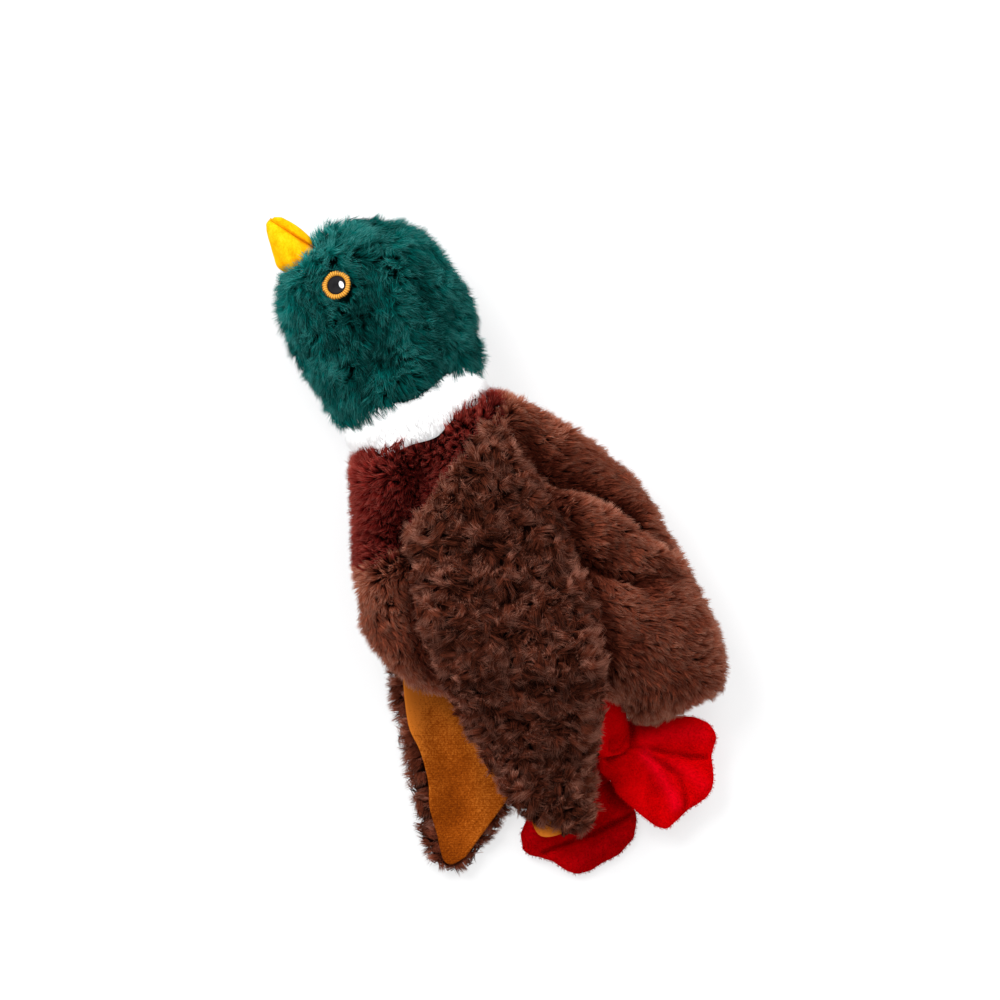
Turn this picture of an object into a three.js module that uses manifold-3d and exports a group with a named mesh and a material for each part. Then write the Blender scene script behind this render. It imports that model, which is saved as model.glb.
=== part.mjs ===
// A stuffed toy mallard lying on its right side, in millimetres, +Z up from the surface it lies on.
// +Y runs from the tail to the beak and +X from the belly to the back.
// The neck line crosses the middle of the neck opening, and every form is placed from there.
import * as THREE from 'three';
import { mergeVertices } from 'three/addons/utils/BufferGeometryUtils.js';
import Module from 'manifold-3d';

const wasm = await Module();
wasm.setup();

// Driving sizes of the skin and of the gaps between pieces
const pileLength = 7;
const backing = 1;
const gap = 0.3;
const restCut = 0.5;
const cutOverrun = 400;

// Torso: chest and body share one swelling form
const torsoLength = 200;
const torsoWidth = 138;
const torsoRise = 33;
const tailSeamHeight = 20;
const torsoLean = 10;

// Neck and collar
const neckHeight = 35;
const neckLean = THREE.MathUtils.degToRad(22.3);
const neckBallRadius = 37;
const neckPivotRise = 10;
const collarWidthShare = 0.932;
const collarThicknessShare = 0.81;
const collarWidth = 2 * neckBallRadius * collarWidthShare;
const collarThickness = 2 * neckBallRadius * collarThicknessShare;
const collarTop = 11;

// Head
const headLength = 89;
const headWidth = 84;
const headThickness = 71;

// Beak
const beakStart = 79;
const beakLength = 32;
const beakDepth = 20;
const beakThickness = 27;
const beakCentre = -23;
const mouthLean = THREE.MathUtils.degToRad(11.7);
const mouthAlongShare = 0.7;
const mouthAcrossShare = 0.08;

// Eyes
const eyeAlong = 72.5;
const eyeAcross = -11.2;
const eyeRadius = 6.5;
const pupilRadius = 4.4;
const eyeHeight = 1.6;
const eyeSink = 3;
const eyeCrownShare = 0.33;
const highlightLength = 3.6;
const highlightWidth = 2.2;
const highlightHeight = 0.6;
const highlightOffset = 2.2;

// Wings
const wingLength = 140;
const farWingReach = 114;
const wingWidth = 90;
const wingPile = 9;
const wingEdgeShare = 0.4;
const liningThickness = 1.4;
const liningInset = 4;
const wingSeamLean = THREE.MathUtils.degToRad(8.9);
const wingSeamAcross = -7.3;
const wingSeamAlong = 27.4;
const wingLift = 90;
const drapeHeight = 60;
const drapeTipHeight = 13;
const drapeSlope = 0.6;
const drapeStart = -24;
const drapeHeading = THREE.MathUtils.degToRad(-142.3);
const drapeEdgeShare = 0.43;
const farWingHeight = 9.5;

// Legs and feet
const legWidth = 19;
const legThickness = 9;
const footLength = 40;
const footSpread = THREE.MathUtils.degToRad(41);
const footThickness = 7;
const footEdgeShare = 0.5;
const webDepthShare = 0.07;
const ankleWidth = 17;
const waistAlongShare = 0.36;
const waistWidthShare = 0.62;
const footLift = 50;
const swingSteps = 12;
const legCutSteps = 6;

// Outlines as shares: along the form, then its left and right edges, then its fullness
const torsoShares = [
  [-0.14, -0.22, 0.31, 0.70],
  [-0.07, -0.25, 0.30, 0.78],
  [0.00, -0.33, 0.29, 0.85],
  [0.05, -0.42, 0.28, 0.88],
  [0.11, -0.48, 0.29, 0.91],
  [0.16, -0.53, 0.31, 0.93],
  [0.25, -0.61, 0.345, 0.97],
  [0.35, -0.635, 0.365, 1.00],
  [0.43, -0.60, 0.367, 1.00],
  [0.53, -0.51, 0.35, 0.99],
  [0.62, -0.43, 0.325, 0.96],
  [0.70, -0.33, 0.295, 0.91],
  [0.77, -0.245, 0.27, 0.82],
  [0.83, -0.175, 0.225, 0.70],
  [0.88, -0.095, 0.18, 0.55],
  [0.915, -0.01, 0.12, 0.34],
];
const headShares = [
  [-0.06, -0.36, 0.36, 0.80],
  [0.00, -0.405, 0.41, 0.85],
  [0.10, -0.44, 0.455, 0.93],
  [0.24, -0.465, 0.505, 0.99],
  [0.40, -0.475, 0.515, 1.00],
  [0.56, -0.485, 0.50, 0.98],
  [0.70, -0.485, 0.455, 0.92],
  [0.80, -0.42, 0.40, 0.82],
  [0.89, -0.30, 0.31, 0.66],
  [0.955, -0.17, 0.20, 0.44],
  [0.995, -0.05, 0.09, 0.20],
];
const beakShares = [
  [0.00, -0.42, 0.62, 1.00],
  [0.28, -0.46, 0.58, 1.00],
  [0.50, -0.47, 0.44, 0.94],
  [0.68, -0.42, 0.28, 0.84],
  [0.82, -0.34, 0.16, 0.72],
  [0.93, -0.26, 0.04, 0.52],
  [1.00, -0.16, -0.04, 0.22],
];
const nearWingShares = [
  [0.00, -0.38, 0.37],
  [0.08, -0.51, 0.35],
  [0.16, -0.65, 0.31],
  [0.25, -0.77, 0.25],
  [0.35, -0.86, 0.15],
  [0.46, -0.96, 0.06],
  [0.58, -1.04, -0.04],
  [0.69, -1.11, -0.17],
  [0.80, -1.15, -0.32],
  [0.90, -1.145, -0.56],
  [0.96, -1.10, -0.74],
  [1.00, -1.00, -0.86],
];
const farWingShares = [
  [0.00, -0.38, 0.37],
  [0.09, -0.62, 0.32],
  [0.18, -0.87, 0.24],
  [0.29, -1.07, 0.10],
  [0.39, -1.19, -0.02],
  [0.54, -1.36, -0.22],
  [0.69, -1.51, -0.44],
  [0.77, -1.59, -0.56],
  [0.85, -1.62, -0.70],
  [0.92, -1.61, -0.85],
  [0.97, -1.54, -0.98],
  [1.00, -1.40, -1.14],
];

// Where each leg leaves the torso and where its ankle is, as shares of torso width and length
const nearLeg = {
  rootShares: [-0.21, 0.715],
  ankleShares: [-0.25, 0.83],
  heading: THREE.MathUtils.degToRad(-74),
  footHeight: farWingHeight,
  ankleRise: footThickness / 2,
  lift: footLift,
};
const farLeg = {
  rootShares: [-0.345, 0.67],
  ankleShares: [-0.475, 0.775],
  heading: THREE.MathUtils.degToRad(-127),
  footHeight: 0,
  ankleRise: footThickness / 4,
  lift: -footLift,
};

// Section roundness: 2 is an ellipse, and more is squarer
const torsoPower = 2.4;
const torsoUnderPower = 4;
const headPower = 2.25;
const collarPower = 2.5;
const beakPower = 2.2;
const padSidePower = 4;
const wingTipPower = 8;
const toePower = 6;

const torsoSteps = 15;
const torsoRing = 20;
const headSteps = 12;
const headRing = 20;
const collarSteps = 4;
const ballSegments = 28;
const beakSteps = 7;
const beakRing = 12;
const wingRows = 12;
const wingColumns = 7;
const footRows = 6;
const footColumns = 10;
const eyeSegments = 16;

const materials = {
  greenPile: finish(0x0b4f4a, 0.95),
  whitePile: finish(0xf4f4f2, 0.95),
  maroonPile: finish(0x4d1614, 0.95),
  brownPile: finish(0x57291d, 0.95),
  wingPile: finish(0x4a241a, 0.95),
  lining: finish(0x8f4612, 0.9),
  redVelour: finish(0xbe0206, 0.8),
  yellowVelour: finish(0xf5bb14, 0.8),
  orangeThread: finish(0xe0902a, 0.6),
  blackThread: finish(0x15131a, 0.5),
  whiteThread: finish(0xf2f2f2, 0.5),
  fibrefill: finish(0xeceae4, 1),
};

function finish(color, roughness) {
  return new THREE.MeshStandardMaterial({ color, roughness, metalness: 0 });
}

// Value of one column of a share table at a place along it, by smooth cubic steps
function shareAt(shares, along, column) {
  const last = shares.length - 1;
  let i = 0;
  while (i < last - 1 && along > shares[i + 1][0]) i += 1;
  const before = shares[Math.max(i - 1, 0)];
  const after = shares[Math.min(i + 2, last)];
  const [from, to] = [shares[i], shares[i + 1]];
  const span = to[0] - from[0];
  const t = THREE.MathUtils.clamp((along - from[0]) / span, 0, 1);
  const leave = (span * (to[column] - before[column])) / (to[0] - before[0]);
  const arrive = (span * (after[column] - from[column])) / (after[0] - from[0]);
  const rise = to[column] - from[column];
  const bend = leave + arrive - 2 * rise;
  return from[column] + t * (leave + t * (rise - leave - bend + t * bend));
}

function smooth(value, from, to) {
  return THREE.MathUtils.smoothstep(value, from, to);
}

// A closed solid from its points and triangles, turned so that its faces point out
function solidOf(points, triangles) {
  const geometry = new THREE.BufferGeometry().setFromPoints(points);
  geometry.setIndex(triangles);
  return solidFrom(geometry);
}

function solidFrom(source) {
  const bare = source.clone();
  bare.deleteAttribute('normal');
  bare.deleteAttribute('uv');
  const geometry = mergeVertices(bare);
  const corners = Array.from(geometry.index.array);
  const at = (i) => new THREE.Vector3().fromBufferAttribute(geometry.attributes.position, corners[i]);
  let volume = 0;
  for (let i = 0; i < corners.length; i += 3) {
    volume += at(i).dot(at(i + 1).cross(at(i + 2)));
  }
  if (volume < 0) corners.reverse();
  return new wasm.Manifold(new wasm.Mesh({
    numProp: 3,
    vertProperties: new Float32Array(geometry.attributes.position.array),
    triVerts: new Uint32Array(corners),
  }));
}

// A form swept through rings of points, closed at both ends by a fan round each ring's middle
function swell(rings) {
  const count = rings[0].length;
  const points = rings.flat();
  const triangles = [];
  for (let i = 0; i < rings.length - 1; i += 1) {
    for (let j = 0; j < count; j += 1) {
      const [a, b] = [i * count + j, i * count + ((j + 1) % count)];
      triangles.push(a, b, a + count, b, b + count, a + count);
    }
  }
  for (const [ring, flip] of [[0, true], [rings.length - 1, false]]) {
    const middle = new THREE.Vector3();
    rings[ring].forEach((point) => middle.add(point));
    points.push(middle.divideScalar(count));
    for (let j = 0; j < count; j += 1) {
      const [a, b] = [ring * count + j, ring * count + ((j + 1) % count)];
      triangles.push(...(flip ? [b, a, points.length - 1] : [a, b, points.length - 1]));
    }
  }
  return solidOf(points, triangles);
}

// A pad between an upper and a lower sheet, each a function of two shares from 0 to 1
function pad(upper, lower, rows, columns) {
  const points = [];
  for (const sheet of [upper, lower]) {
    for (let i = 0; i <= rows; i += 1) {
      for (let j = 0; j <= columns; j += 1) points.push(sheet(i / rows, j / columns));
    }
  }
  const half = (rows + 1) * (columns + 1);
  const triangles = [];
  for (let i = 0; i < rows; i += 1) {
    for (let j = 0; j < columns; j += 1) {
      const a = i * (columns + 1) + j;
      const [b, c, d] = [a + 1, a + columns + 1, a + columns + 2];
      triangles.push(a, c, b, b, c, d);
      triangles.push(a + half, b + half, c + half, b + half, d + half, c + half);
    }
  }
  const rim = [];
  for (let j = 0; j < columns; j += 1) rim.push(j);
  for (let i = 0; i < rows; i += 1) rim.push(i * (columns + 1) + columns);
  for (let j = columns; j > 0; j -= 1) rim.push(rows * (columns + 1) + j);
  for (let i = rows; i > 0; i -= 1) rim.push(i * (columns + 1));
  rim.forEach((a, i) => {
    const b = rim[(i + 1) % rim.length];
    triangles.push(a, b, a + half, b, b + half, a + half);
  });
  return solidOf(points, triangles);
}

// Everything on one side of a plane, as a large block
function sideOf(point, normal) {
  const block = new THREE.BoxGeometry(2 * cutOverrun, 2 * cutOverrun, 2 * cutOverrun);
  block.translate(0, 0, cutOverrun);
  const facing = new THREE.Quaternion().setFromUnitVectors(new THREE.Vector3(0, 0, 1), normal);
  block.applyQuaternion(facing);
  block.translate(point.x, point.y, point.z);
  return solidFrom(block);
}

function turnedAbout(solid, origin, axis, degrees) {
  const turn = new THREE.Matrix4().makeRotationAxis(axis, THREE.MathUtils.degToRad(degrees));
  const matrix = new THREE.Matrix4().makeTranslation(origin.x, origin.y, origin.z).multiply(turn)
    .multiply(new THREE.Matrix4().makeTranslation(-origin.x, -origin.y, -origin.z));
  return solid.transform(matrix.elements);
}

// The solid with room cut for an obstacle at every place of a hinge's swing
function clearedThrough(solid, obstacle, hinge, turnLimit, turnSteps) {
  let cleared = solid.subtract(obstacle);
  for (let i = 1; i <= turnSteps; i += 1) {
    const turned = turnedAbout(obstacle, hinge.origin, hinge.axis, (-turnLimit * i) / turnSteps);
    cleared = cleared.subtract(turned);
  }
  return largestOf(cleared);
}

function largestOf(solid) {
  return solid.decompose().sort((a, b) => b.volume() - a.volume())[0];
}

const up = new THREE.Vector3(0, 0, 1);
const floorSide = sideOf(new THREE.Vector3(0, 0, 0), up);
const wall = pileLength + backing;

// Neck frame: along the neck, across it towards the back, and up
const neckAlong = new THREE.Vector3(Math.sin(neckLean), Math.cos(neckLean), 0);
const neckAcross = new THREE.Vector3(Math.cos(neckLean), -Math.sin(neckLean), 0);
const onNeck = (along, across, height) => new THREE.Vector3(0, 0, height)
  .addScaledVector(neckAlong, along).addScaledVector(neckAcross, across);
const neckPivot = onNeck(neckPivotRise, 0, neckHeight);

// Wing seam frame: the line where both wings are sewn in, and the reach away from it
const seamAcross = new THREE.Vector3(Math.cos(wingSeamLean), Math.sin(wingSeamLean), 0);
const seamReach = new THREE.Vector3(Math.sin(wingSeamLean), -Math.cos(wingSeamLean), 0);
const seamMiddle = new THREE.Vector3(wingSeamAcross, -wingSeamAlong, 0);

// Torso: each section has its own edges, seam height and fullness
const seamHeightAt = (y) => neckHeight + ((neckHeight - tailSeamHeight) * y) / torsoLength;

function torsoSection(y) {
  const along = -y / torsoLength;
  const left = torsoWidth * shareAt(torsoShares, along, 1);
  const right = torsoWidth * shareAt(torsoShares, along, 2);
  const fullness = shareAt(torsoShares, along, 3);
  return { middle: (left + right) / 2, half: (right - left) / 2, fullness, seam: seamHeightAt(y) };
}

// The torso lies on the far wing towards the chest and belly, and on the floor towards the tail
function torsoUnderHeight(x, y) {
  const wingEdge = wingWidth * shareAt(farWingShares, Math.min(-y / farWingReach, 1), 2);
  const overWing = 1 - smooth(x, wingEdge + wall, wingEdge + 3 * wall);
  const overChest = smooth(y, -2 * wingSeamAlong, -wingSeamAlong);
  return torsoLean * Math.max(overWing, overChest);
}

function torsoForm(inset) {
  const rings = [];
  const [first, last] = [torsoShares[0][0], torsoShares.at(-1)[0]];
  for (let i = 0; i <= torsoSteps; i += 1) {
    const y = -torsoLength * THREE.MathUtils.lerp(first, last, i / torsoSteps);
    const { middle, half, fullness, seam } = torsoSection(y);
    const rise = torsoRise * fullness - inset;
    if (Math.min(half - inset, rise) < Math.abs(inset)) continue;
    const ring = [];
    for (let j = 0; j < torsoRing; j += 1) {
      const angle = (2 * Math.PI * j) / torsoRing;
      const [c, s] = [Math.cos(angle), Math.sin(angle)];
      const power = s >= 0 ? torsoPower : torsoUnderPower;
      const x = middle + (half - inset) * Math.sign(c) * Math.abs(c) ** (2 / power);
      const drop = (seam - torsoUnderHeight(x, y)) * Math.sqrt(fullness) + restCut - inset;
      ring.push(new THREE.Vector3(x, y, seam + (s >= 0 ? rise : -drop) * Math.abs(s) ** (2 / power)));
    }
    rings.push(ring);
  }
  return swell(rings);
}

// Height of the torso's upper surface over a place in the plan, down to its seam outside it
function torsoTopAt(x, y) {
  const { middle, half, fullness, seam } = torsoSection(y);
  const across = Math.min(Math.abs(x - middle) / half, 1);
  return seam + torsoRise * fullness * (1 - across ** torsoPower) ** (1 / torsoPower);
}

// Head and beak: sections across the neck line
function neckForm(shares, start, length, width, thickness, centre, power, steps, ringCount, inset) {
  const rings = [];
  const [first, last] = [shares[0][0], shares.at(-1)[0]];
  for (let i = 0; i <= steps; i += 1) {
    const place = THREE.MathUtils.lerp(first, last, i / steps);
    const left = width * shareAt(shares, place, 1) + inset;
    const right = width * shareAt(shares, place, 2) - inset;
    const rise = (thickness / 2) * shareAt(shares, place, 3) - inset;
    if (Math.min(right - left, rise) < Math.abs(inset) / 2) continue;
    rings.push(ovalRing(start + length * place, centre, left, right, rise, power, ringCount));
  }
  return swell(rings);
}

function ovalRing(along, centre, left, right, rise, power, count) {
  const ring = [];
  for (let j = 0; j < count; j += 1) {
    const angle = (2 * Math.PI * j) / count;
    const [c, s] = [Math.cos(angle), Math.sin(angle)];
    const across = (left + right) / 2 + ((right - left) / 2) * Math.sign(c) * Math.abs(c) ** (2 / power);
    ring.push(onNeck(along, centre + across, neckHeight + rise * Math.sign(s) * Math.abs(s) ** (2 / power)));
  }
  return ring;
}

const headForm = (inset) => neckForm(headShares, collarTop, headLength, headWidth, headThickness, 0,
  headPower, headSteps, headRing, inset);

// Head surface over a place along and across the neck line
function headTopAt(along, across) {
  const place = (along - collarTop) / headLength;
  const left = headWidth * shareAt(headShares, place, 1);
  const right = headWidth * shareAt(headShares, place, 2);
  const share = Math.min(Math.abs(2 * across - left - right) / (right - left), 1);
  const rise = (headThickness / 2) * shareAt(headShares, place, 3);
  return neckHeight + rise * (1 - share ** headPower) ** (1 / headPower);
}

// Neck ball: the collar's lower end turns in a matching hollow at the top of the chest
function neckBall(radius) {
  const ball = new THREE.SphereGeometry(radius, ballSegments, ballSegments / 2);
  ball.rotateX(Math.PI / 2);
  ball.translate(neckPivot.x, neckPivot.y, neckPivot.z);
  return solidFrom(ball);
}

const neckHollow = neckBall(neckBallRadius);
const aboveNeck = sideOf(onNeck(0, 0, neckHeight), neckAlong);
const collarEnd = sideOf(onNeck(collarTop - gap / 2, 0, neckHeight), neckAlong);
const headStart = sideOf(onNeck(collarTop + gap / 2, 0, neckHeight), neckAlong.clone().negate());

// Left and right halves of a skin meet at a seam plane half-way through the toy
function halves(skin, point, normal) {
  const nearSide = sideOf(point.clone().addScaledVector(normal, gap / 2), normal);
  const farSide = sideOf(point.clone().addScaledVector(normal, -gap / 2), normal.clone().negate());
  return { left: largestOf(skin.intersect(nearSide)), right: largestOf(skin.intersect(farSide)) };
}

const group = new THREE.Group();
const toy = new THREE.Group();
group.add(toy);

function addMesh(name, solid, material, parent = toy) {
  const { vertProperties, triVerts } = solid.getMesh();
  const geometry = new THREE.BufferGeometry();
  geometry.setAttribute('position', new THREE.BufferAttribute(new Float32Array(vertProperties), 3));
  geometry.setIndex(new THREE.BufferAttribute(new Uint32Array(triVerts), 1));
  geometry.computeVertexNormals();
  const mesh = new THREE.Mesh(geometry, material);
  mesh.name = name;
  parent.add(mesh);
  return mesh;
}

// Torso skin, split at the chest seam and at the seam between its sides, with its filling
function addTorso() {
  const openNeck = (solid) => largestOf(solid.subtract(neckHollow).subtract(aboveNeck).intersect(floorSide));
  const skin = openNeck(torsoForm(0).subtract(torsoForm(wall)));
  const tailPoint = new THREE.Vector3(0, -torsoLength, tailSeamHeight);
  const neckPoint = new THREE.Vector3(0, 0, neckHeight);
  const slope = neckPoint.clone().sub(tailPoint).normalize();
  const seamNormal = new THREE.Vector3(1, 0, 0).cross(slope).normalize();
  const chestWay = seamReach.clone().negate();
  const chestSide = sideOf(seamMiddle.clone().addScaledVector(chestWay, gap / 2), chestWay);
  const bodySide = sideOf(seamMiddle.clone().addScaledVector(seamReach, gap / 2), seamReach);
  const chest = halves(skin.intersect(chestSide), neckPoint, seamNormal);
  const body = halves(skin.intersect(bodySide), neckPoint, seamNormal);
  addMesh('chest_left_panel', chest.left, materials.maroonPile);
  addMesh('chest_right_panel', chest.right, materials.maroonPile);
  addMesh('body_left_panel', body.left, materials.brownPile);
  addMesh('body_right_panel', body.right, materials.brownPile);
  addMesh('body_filling', openNeck(torsoForm(wall + gap)), materials.fibrefill);
}

// Collar skin and the filling inside it, both ending in the neck ball
function addCollar() {
  const inside = (inset) => {
    const ball = neckBall(neckBallRadius - gap - inset);
    const rings = [];
    for (let i = 0; i <= collarSteps; i += 1) {
      const along = THREE.MathUtils.lerp(neckPivotRise - neckBallRadius, collarTop + wall, i / collarSteps);
      const half = collarWidth / 2 - inset;
      rings.push(ovalRing(along, 0, -half, half, collarThickness / 2 - inset, collarPower, headRing));
    }
    return swell(rings).intersect(ball);
  };
  const skin = halves(inside(0).subtract(inside(wall)).subtract(collarEnd), neckPivot, up);
  addMesh('collar_left_panel', skin.left, materials.whitePile);
  addMesh('collar_right_panel', skin.right, materials.whitePile);
  addMesh('neck_filling', largestOf(inside(wall + gap).subtract(collarEnd)), materials.fibrefill);
}

// A frame standing on the head where an eye is sewn, facing out of its surface
function eyeFrame(side) {
  const span = eyeRadius;
  const height = (along, across) => headTopAt(eyeAlong + along, eyeAcross + across);
  const slopeAlong = (height(span, 0) - height(-span, 0)) / (2 * span);
  const slopeAcross = (height(0, span) - height(0, -span)) / (2 * span);
  const normal = up.clone().addScaledVector(neckAlong, -slopeAlong).addScaledVector(neckAcross, -slopeAcross);
  const point = onNeck(eyeAlong, eyeAcross, height(0, 0));
  if (side < 0) {
    normal.z = -normal.z;
    point.z = 2 * neckHeight - point.z;
  }
  normal.normalize();
  const turn = new THREE.Quaternion().setFromUnitVectors(up, normal);
  return new THREE.Matrix4().compose(point, turn, new THREE.Vector3(1, 1, 1));
}

// Head skin, its filling and the two embroidered eyes, each sunk in the pile
function addHead() {
  const seat = new THREE.CylinderGeometry(eyeRadius + gap, eyeRadius + gap, 2 * eyeSink, eyeSegments);
  seat.rotateX(Math.PI / 2);
  const skinStart = (solid) => largestOf(solid.subtract(headStart).intersect(floorSide));
  let skin = headForm(0).subtract(headForm(wall));
  for (const side of [1, -1]) {
    skin = skin.subtract(solidFrom(seat.clone().applyMatrix4(eyeFrame(side))));
  }
  const sides = halves(skinStart(skin), neckPivot, up);
  addMesh('head_left_panel', sides.left, materials.greenPile);
  addMesh('head_right_panel', sides.right, materials.greenPile);
  addMesh('head_filling', skinStart(headForm(wall + gap)), materials.fibrefill);
  addEye('left', eyeFrame(1));
  addEye('right', eyeFrame(-1));
}

function addEye(sideName, frame) {
  const floor = -eyeSink + gap;
  const bore = pupilRadius + gap;
  const crown = (eyeRadius - bore) * eyeCrownShare;
  const ring = new THREE.LatheGeometry([
    [bore, floor], [eyeRadius, floor], [eyeRadius, floor + eyeHeight - crown],
    [eyeRadius - crown, floor + eyeHeight], [bore + crown, floor + eyeHeight],
    [bore, floor + eyeHeight - crown], [bore, floor],
  ].map(([r, h]) => new THREE.Vector2(r, h)), eyeSegments);
  const pupil = new THREE.LatheGeometry([
    [0, floor], [pupilRadius, floor], [pupilRadius, floor + eyeHeight - crown],
    [pupilRadius - crown, floor + eyeHeight], [0, floor + eyeHeight],
  ].map(([r, h]) => new THREE.Vector2(r, h)), eyeSegments);
  const half = highlightWidth / 2;
  const shine = new THREE.CylinderGeometry(half, half, highlightHeight, eyeSegments);
  shine.scale(highlightLength / highlightWidth, 1, 1);
  shine.translate(0, floor + eyeHeight + gap + highlightHeight / 2, -highlightOffset);
  for (const [name, shape, material] of [
    ['eye_ring', ring, materials.orangeThread],
    ['eye_pupil', pupil, materials.blackThread],
    ['eye_highlight', shine, materials.whiteThread],
  ]) {
    shape.rotateX(Math.PI / 2);
    shape.applyMatrix4(frame);
    addMesh(`${sideName}_${name}`, solidFrom(shape), material);
  }
}

// Beak: one tapering form, cut by the head and parted along the mouth line
function addBeak() {
  const whole = neckForm(beakShares, beakStart, beakLength, beakDepth, beakThickness, beakCentre,
    beakPower, beakSteps, beakRing, 0).subtract(headForm(-gap));
  const mouthNormal = new THREE.Vector3(Math.cos(mouthLean), Math.sin(mouthLean), 0);
  const mouth = onNeck(beakStart + mouthAlongShare * beakLength, beakCentre + mouthAcrossShare * beakDepth,
    neckHeight);
  const parts = halves(whole, mouth, mouthNormal);
  addMesh('beak_upper', parts.left, materials.yellowVelour);
  addMesh('beak_lower', parts.right, materials.yellowVelour);
}

// Wings: a pile layer and a lining, sewn in at the chest seam
function onWing(shares, reach, inset, room) {
  return (row, column) => {
    const along = THREE.MathUtils.lerp(0, 1 - inset / reach, row);
    const left = wingWidth * shareAt(shares, along, 1) + inset;
    const right = wingWidth * shareAt(shares, along, 2) - inset;
    const [rowRoom, columnRoom] = [row, column].map((share) => room * ((share === 1) - (share === 0)));
    return seamMiddle.clone().addScaledVector(seamReach, gap + along * reach + rowRoom)
      .addScaledVector(seamAcross, THREE.MathUtils.lerp(left, right, column) + columnRoom);
  };
}

function wingFullness(row, column) {
  const across = Math.abs(2 * column - 1);
  const fullness = Math.sqrt((1 - across ** padSidePower) * (1 - row ** wingTipPower));
  return THREE.MathUtils.lerp(wingEdgeShare, 1, fullness);
}

// The near wing lies over the torso and sags past its belly edge
function drapeAt(x, y) {
  const edgeX = torsoWidth * shareAt(torsoShares, drapeEdgeShare, 1);
  const edgeY = -torsoLength * drapeEdgeShare;
  const outward = (x - edgeX) * Math.cos(drapeHeading) + (y - edgeY) * Math.sin(drapeHeading);
  const fall = drapeHeight - drapeSlope * Math.max(outward - drapeStart, 0);
  const sag = Math.max(fall, drapeTipHeight);
  const over = torsoTopAt(x, y) + 2 * gap;
  const blend = Math.max(wall - Math.abs(sag - over), 0) / wall;
  return Math.max(sag, over) + (blend * blend * wall) / 4;
}

function raised(place, height) {
  return (row, column) => {
    const point = place(row, column);
    point.z = height(point, row, column);
    return point;
  };
}

function addNearWing(torso) {
  const pilePlace = onWing(nearWingShares, wingLength, 0, 0);
  const under = (point) => drapeAt(point.x, point.y);
  const pile = pad(
    raised(pilePlace, (p, row, column) => under(p) + liningThickness + wingPile * wingFullness(row, column)),
    raised(pilePlace, under), wingRows, wingColumns);
  const lining = (room) => {
    const place = onWing(nearWingShares, wingLength, liningInset, 2 * room);
    return pad(raised(place, (p) => under(p) + liningThickness + room),
      raised(place, (p) => under(p) - 2 * room), wingRows, wingColumns);
  };
  addWing('left', pile.subtract(lining(gap)), lining(0), torso, nearWingHinge, wingLift);
}

function addWing(sideName, pile, lining, torso, hinge, turns) {
  const cleared = (solid) => clearedThrough(solid, torso, hinge, turns, swingSteps);
  addMesh(`${sideName}_wing_pile`, cleared(pile), materials.wingPile);
  addMesh(`${sideName}_wing_lining`, cleared(lining), materials.lining);
}

function farWingPad(room) {
  const place = onWing(farWingShares, farWingReach, 0, 2 * room);
  const lift = (row, column) => Math.max(0, (farWingHeight / 2) * (1 - wingFullness(row, column)) - restCut);
  return pad(raised(place, () => farWingHeight + room),
    raised(place, (p, row, column) => lift(row, column) - room), wingRows, wingColumns);
}

function addFarWing(torso) {
  const pile = farWingPad(0);
  const lining = (room) => {
    const place = onWing(farWingShares, farWingReach, liningInset, 2 * room);
    return pad(raised(place, () => farWingHeight + 2 * room),
      raised(place, () => farWingHeight - liningThickness - room), wingRows, wingColumns);
  };
  addWing('right', pile.subtract(lining(gap)), lining(0), torso, farWingHinge, -wingLift);
}

const nearWingHinge = {
  origin: seamMiddle.clone().setZ(torsoTopAt(seamMiddle.x, seamMiddle.y) + liningThickness),
  axis: seamAcross.clone().negate(),
};
const farWingHinge = {
  origin: seamMiddle.clone().setZ(farWingHeight),
  axis: seamAcross.clone().negate(),
};

// Legs and feet: a short padded leg, then a webbed foot of two velour pieces that flaps at the ankle
function legPlan({ rootShares, ankleShares, heading, footHeight, ankleRise, lift }) {
  const at = ([across, along], height) =>
    new THREE.Vector3(torsoWidth * across, -torsoLength * along, height);
  const ahead = new THREE.Vector3(Math.cos(heading), Math.sin(heading), 0);
  const aside = new THREE.Vector3(-ahead.y, ahead.x, 0);
  const middleAt = (row) => footHeight + footThickness / 2 + ankleRise * (1 - row) ** 2;
  const root = at(rootShares, 0);
  root.z = seamHeightAt(root.y) - legThickness / 2 + footThickness / 2;
  const ankle = at(ankleShares, middleAt(0));
  const hinge = { origin: ankle, axis: aside.clone().negate() };
  return { root, ankle, ahead, aside, middleAt, lift, hinge };
}

// From the ankle line the foot opens to three toes, with the web drawn in between them
function onFoot({ ankle, ahead, aside }, startGap) {
  return (row, column) => {
    const across = 2 * column - 1;
    const angle = footSpread * across;
    const reach = footLength * (1 - webDepthShare * (1 - Math.cos(4 * Math.PI * column)));
    const start = ankle.clone().addScaledVector(aside, (ankleWidth / 2) * across);
    const waist = ankle.clone().addScaledVector(ahead, waistAlongShare * footLength)
      .addScaledVector(aside, waistWidthShare * ankleWidth * across);
    const end = ankle.clone().addScaledVector(ahead, reach * Math.cos(angle))
      .addScaledVector(aside, reach * Math.sin(angle));
    return start.multiplyScalar((1 - row) ** 2).addScaledVector(waist, 2 * row * (1 - row))
      .addScaledVector(end, row ** 2).addScaledVector(ahead, startGap * (1 - row));
  };
}

// A layer of the foot between two heights, each told as a share of its fullness and a step from its middle
function footLayer(plan, startGap, [topShare, topStep], [underShare, underStep]) {
  const full = (row, column) => THREE.MathUtils.lerp(footEdgeShare, 1,
    Math.sqrt((1 - (2 * column - 1) ** padSidePower) * (1 - row ** toePower))) * (footThickness / 2);
  const sheet = (share, step) => raised(onFoot(plan, startGap),
    (p, row, column) => plan.middleAt(row) + share * full(row, column) + step);
  return pad(sheet(topShare, topStep), sheet(underShare, underStep), footRows, footColumns);
}

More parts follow.
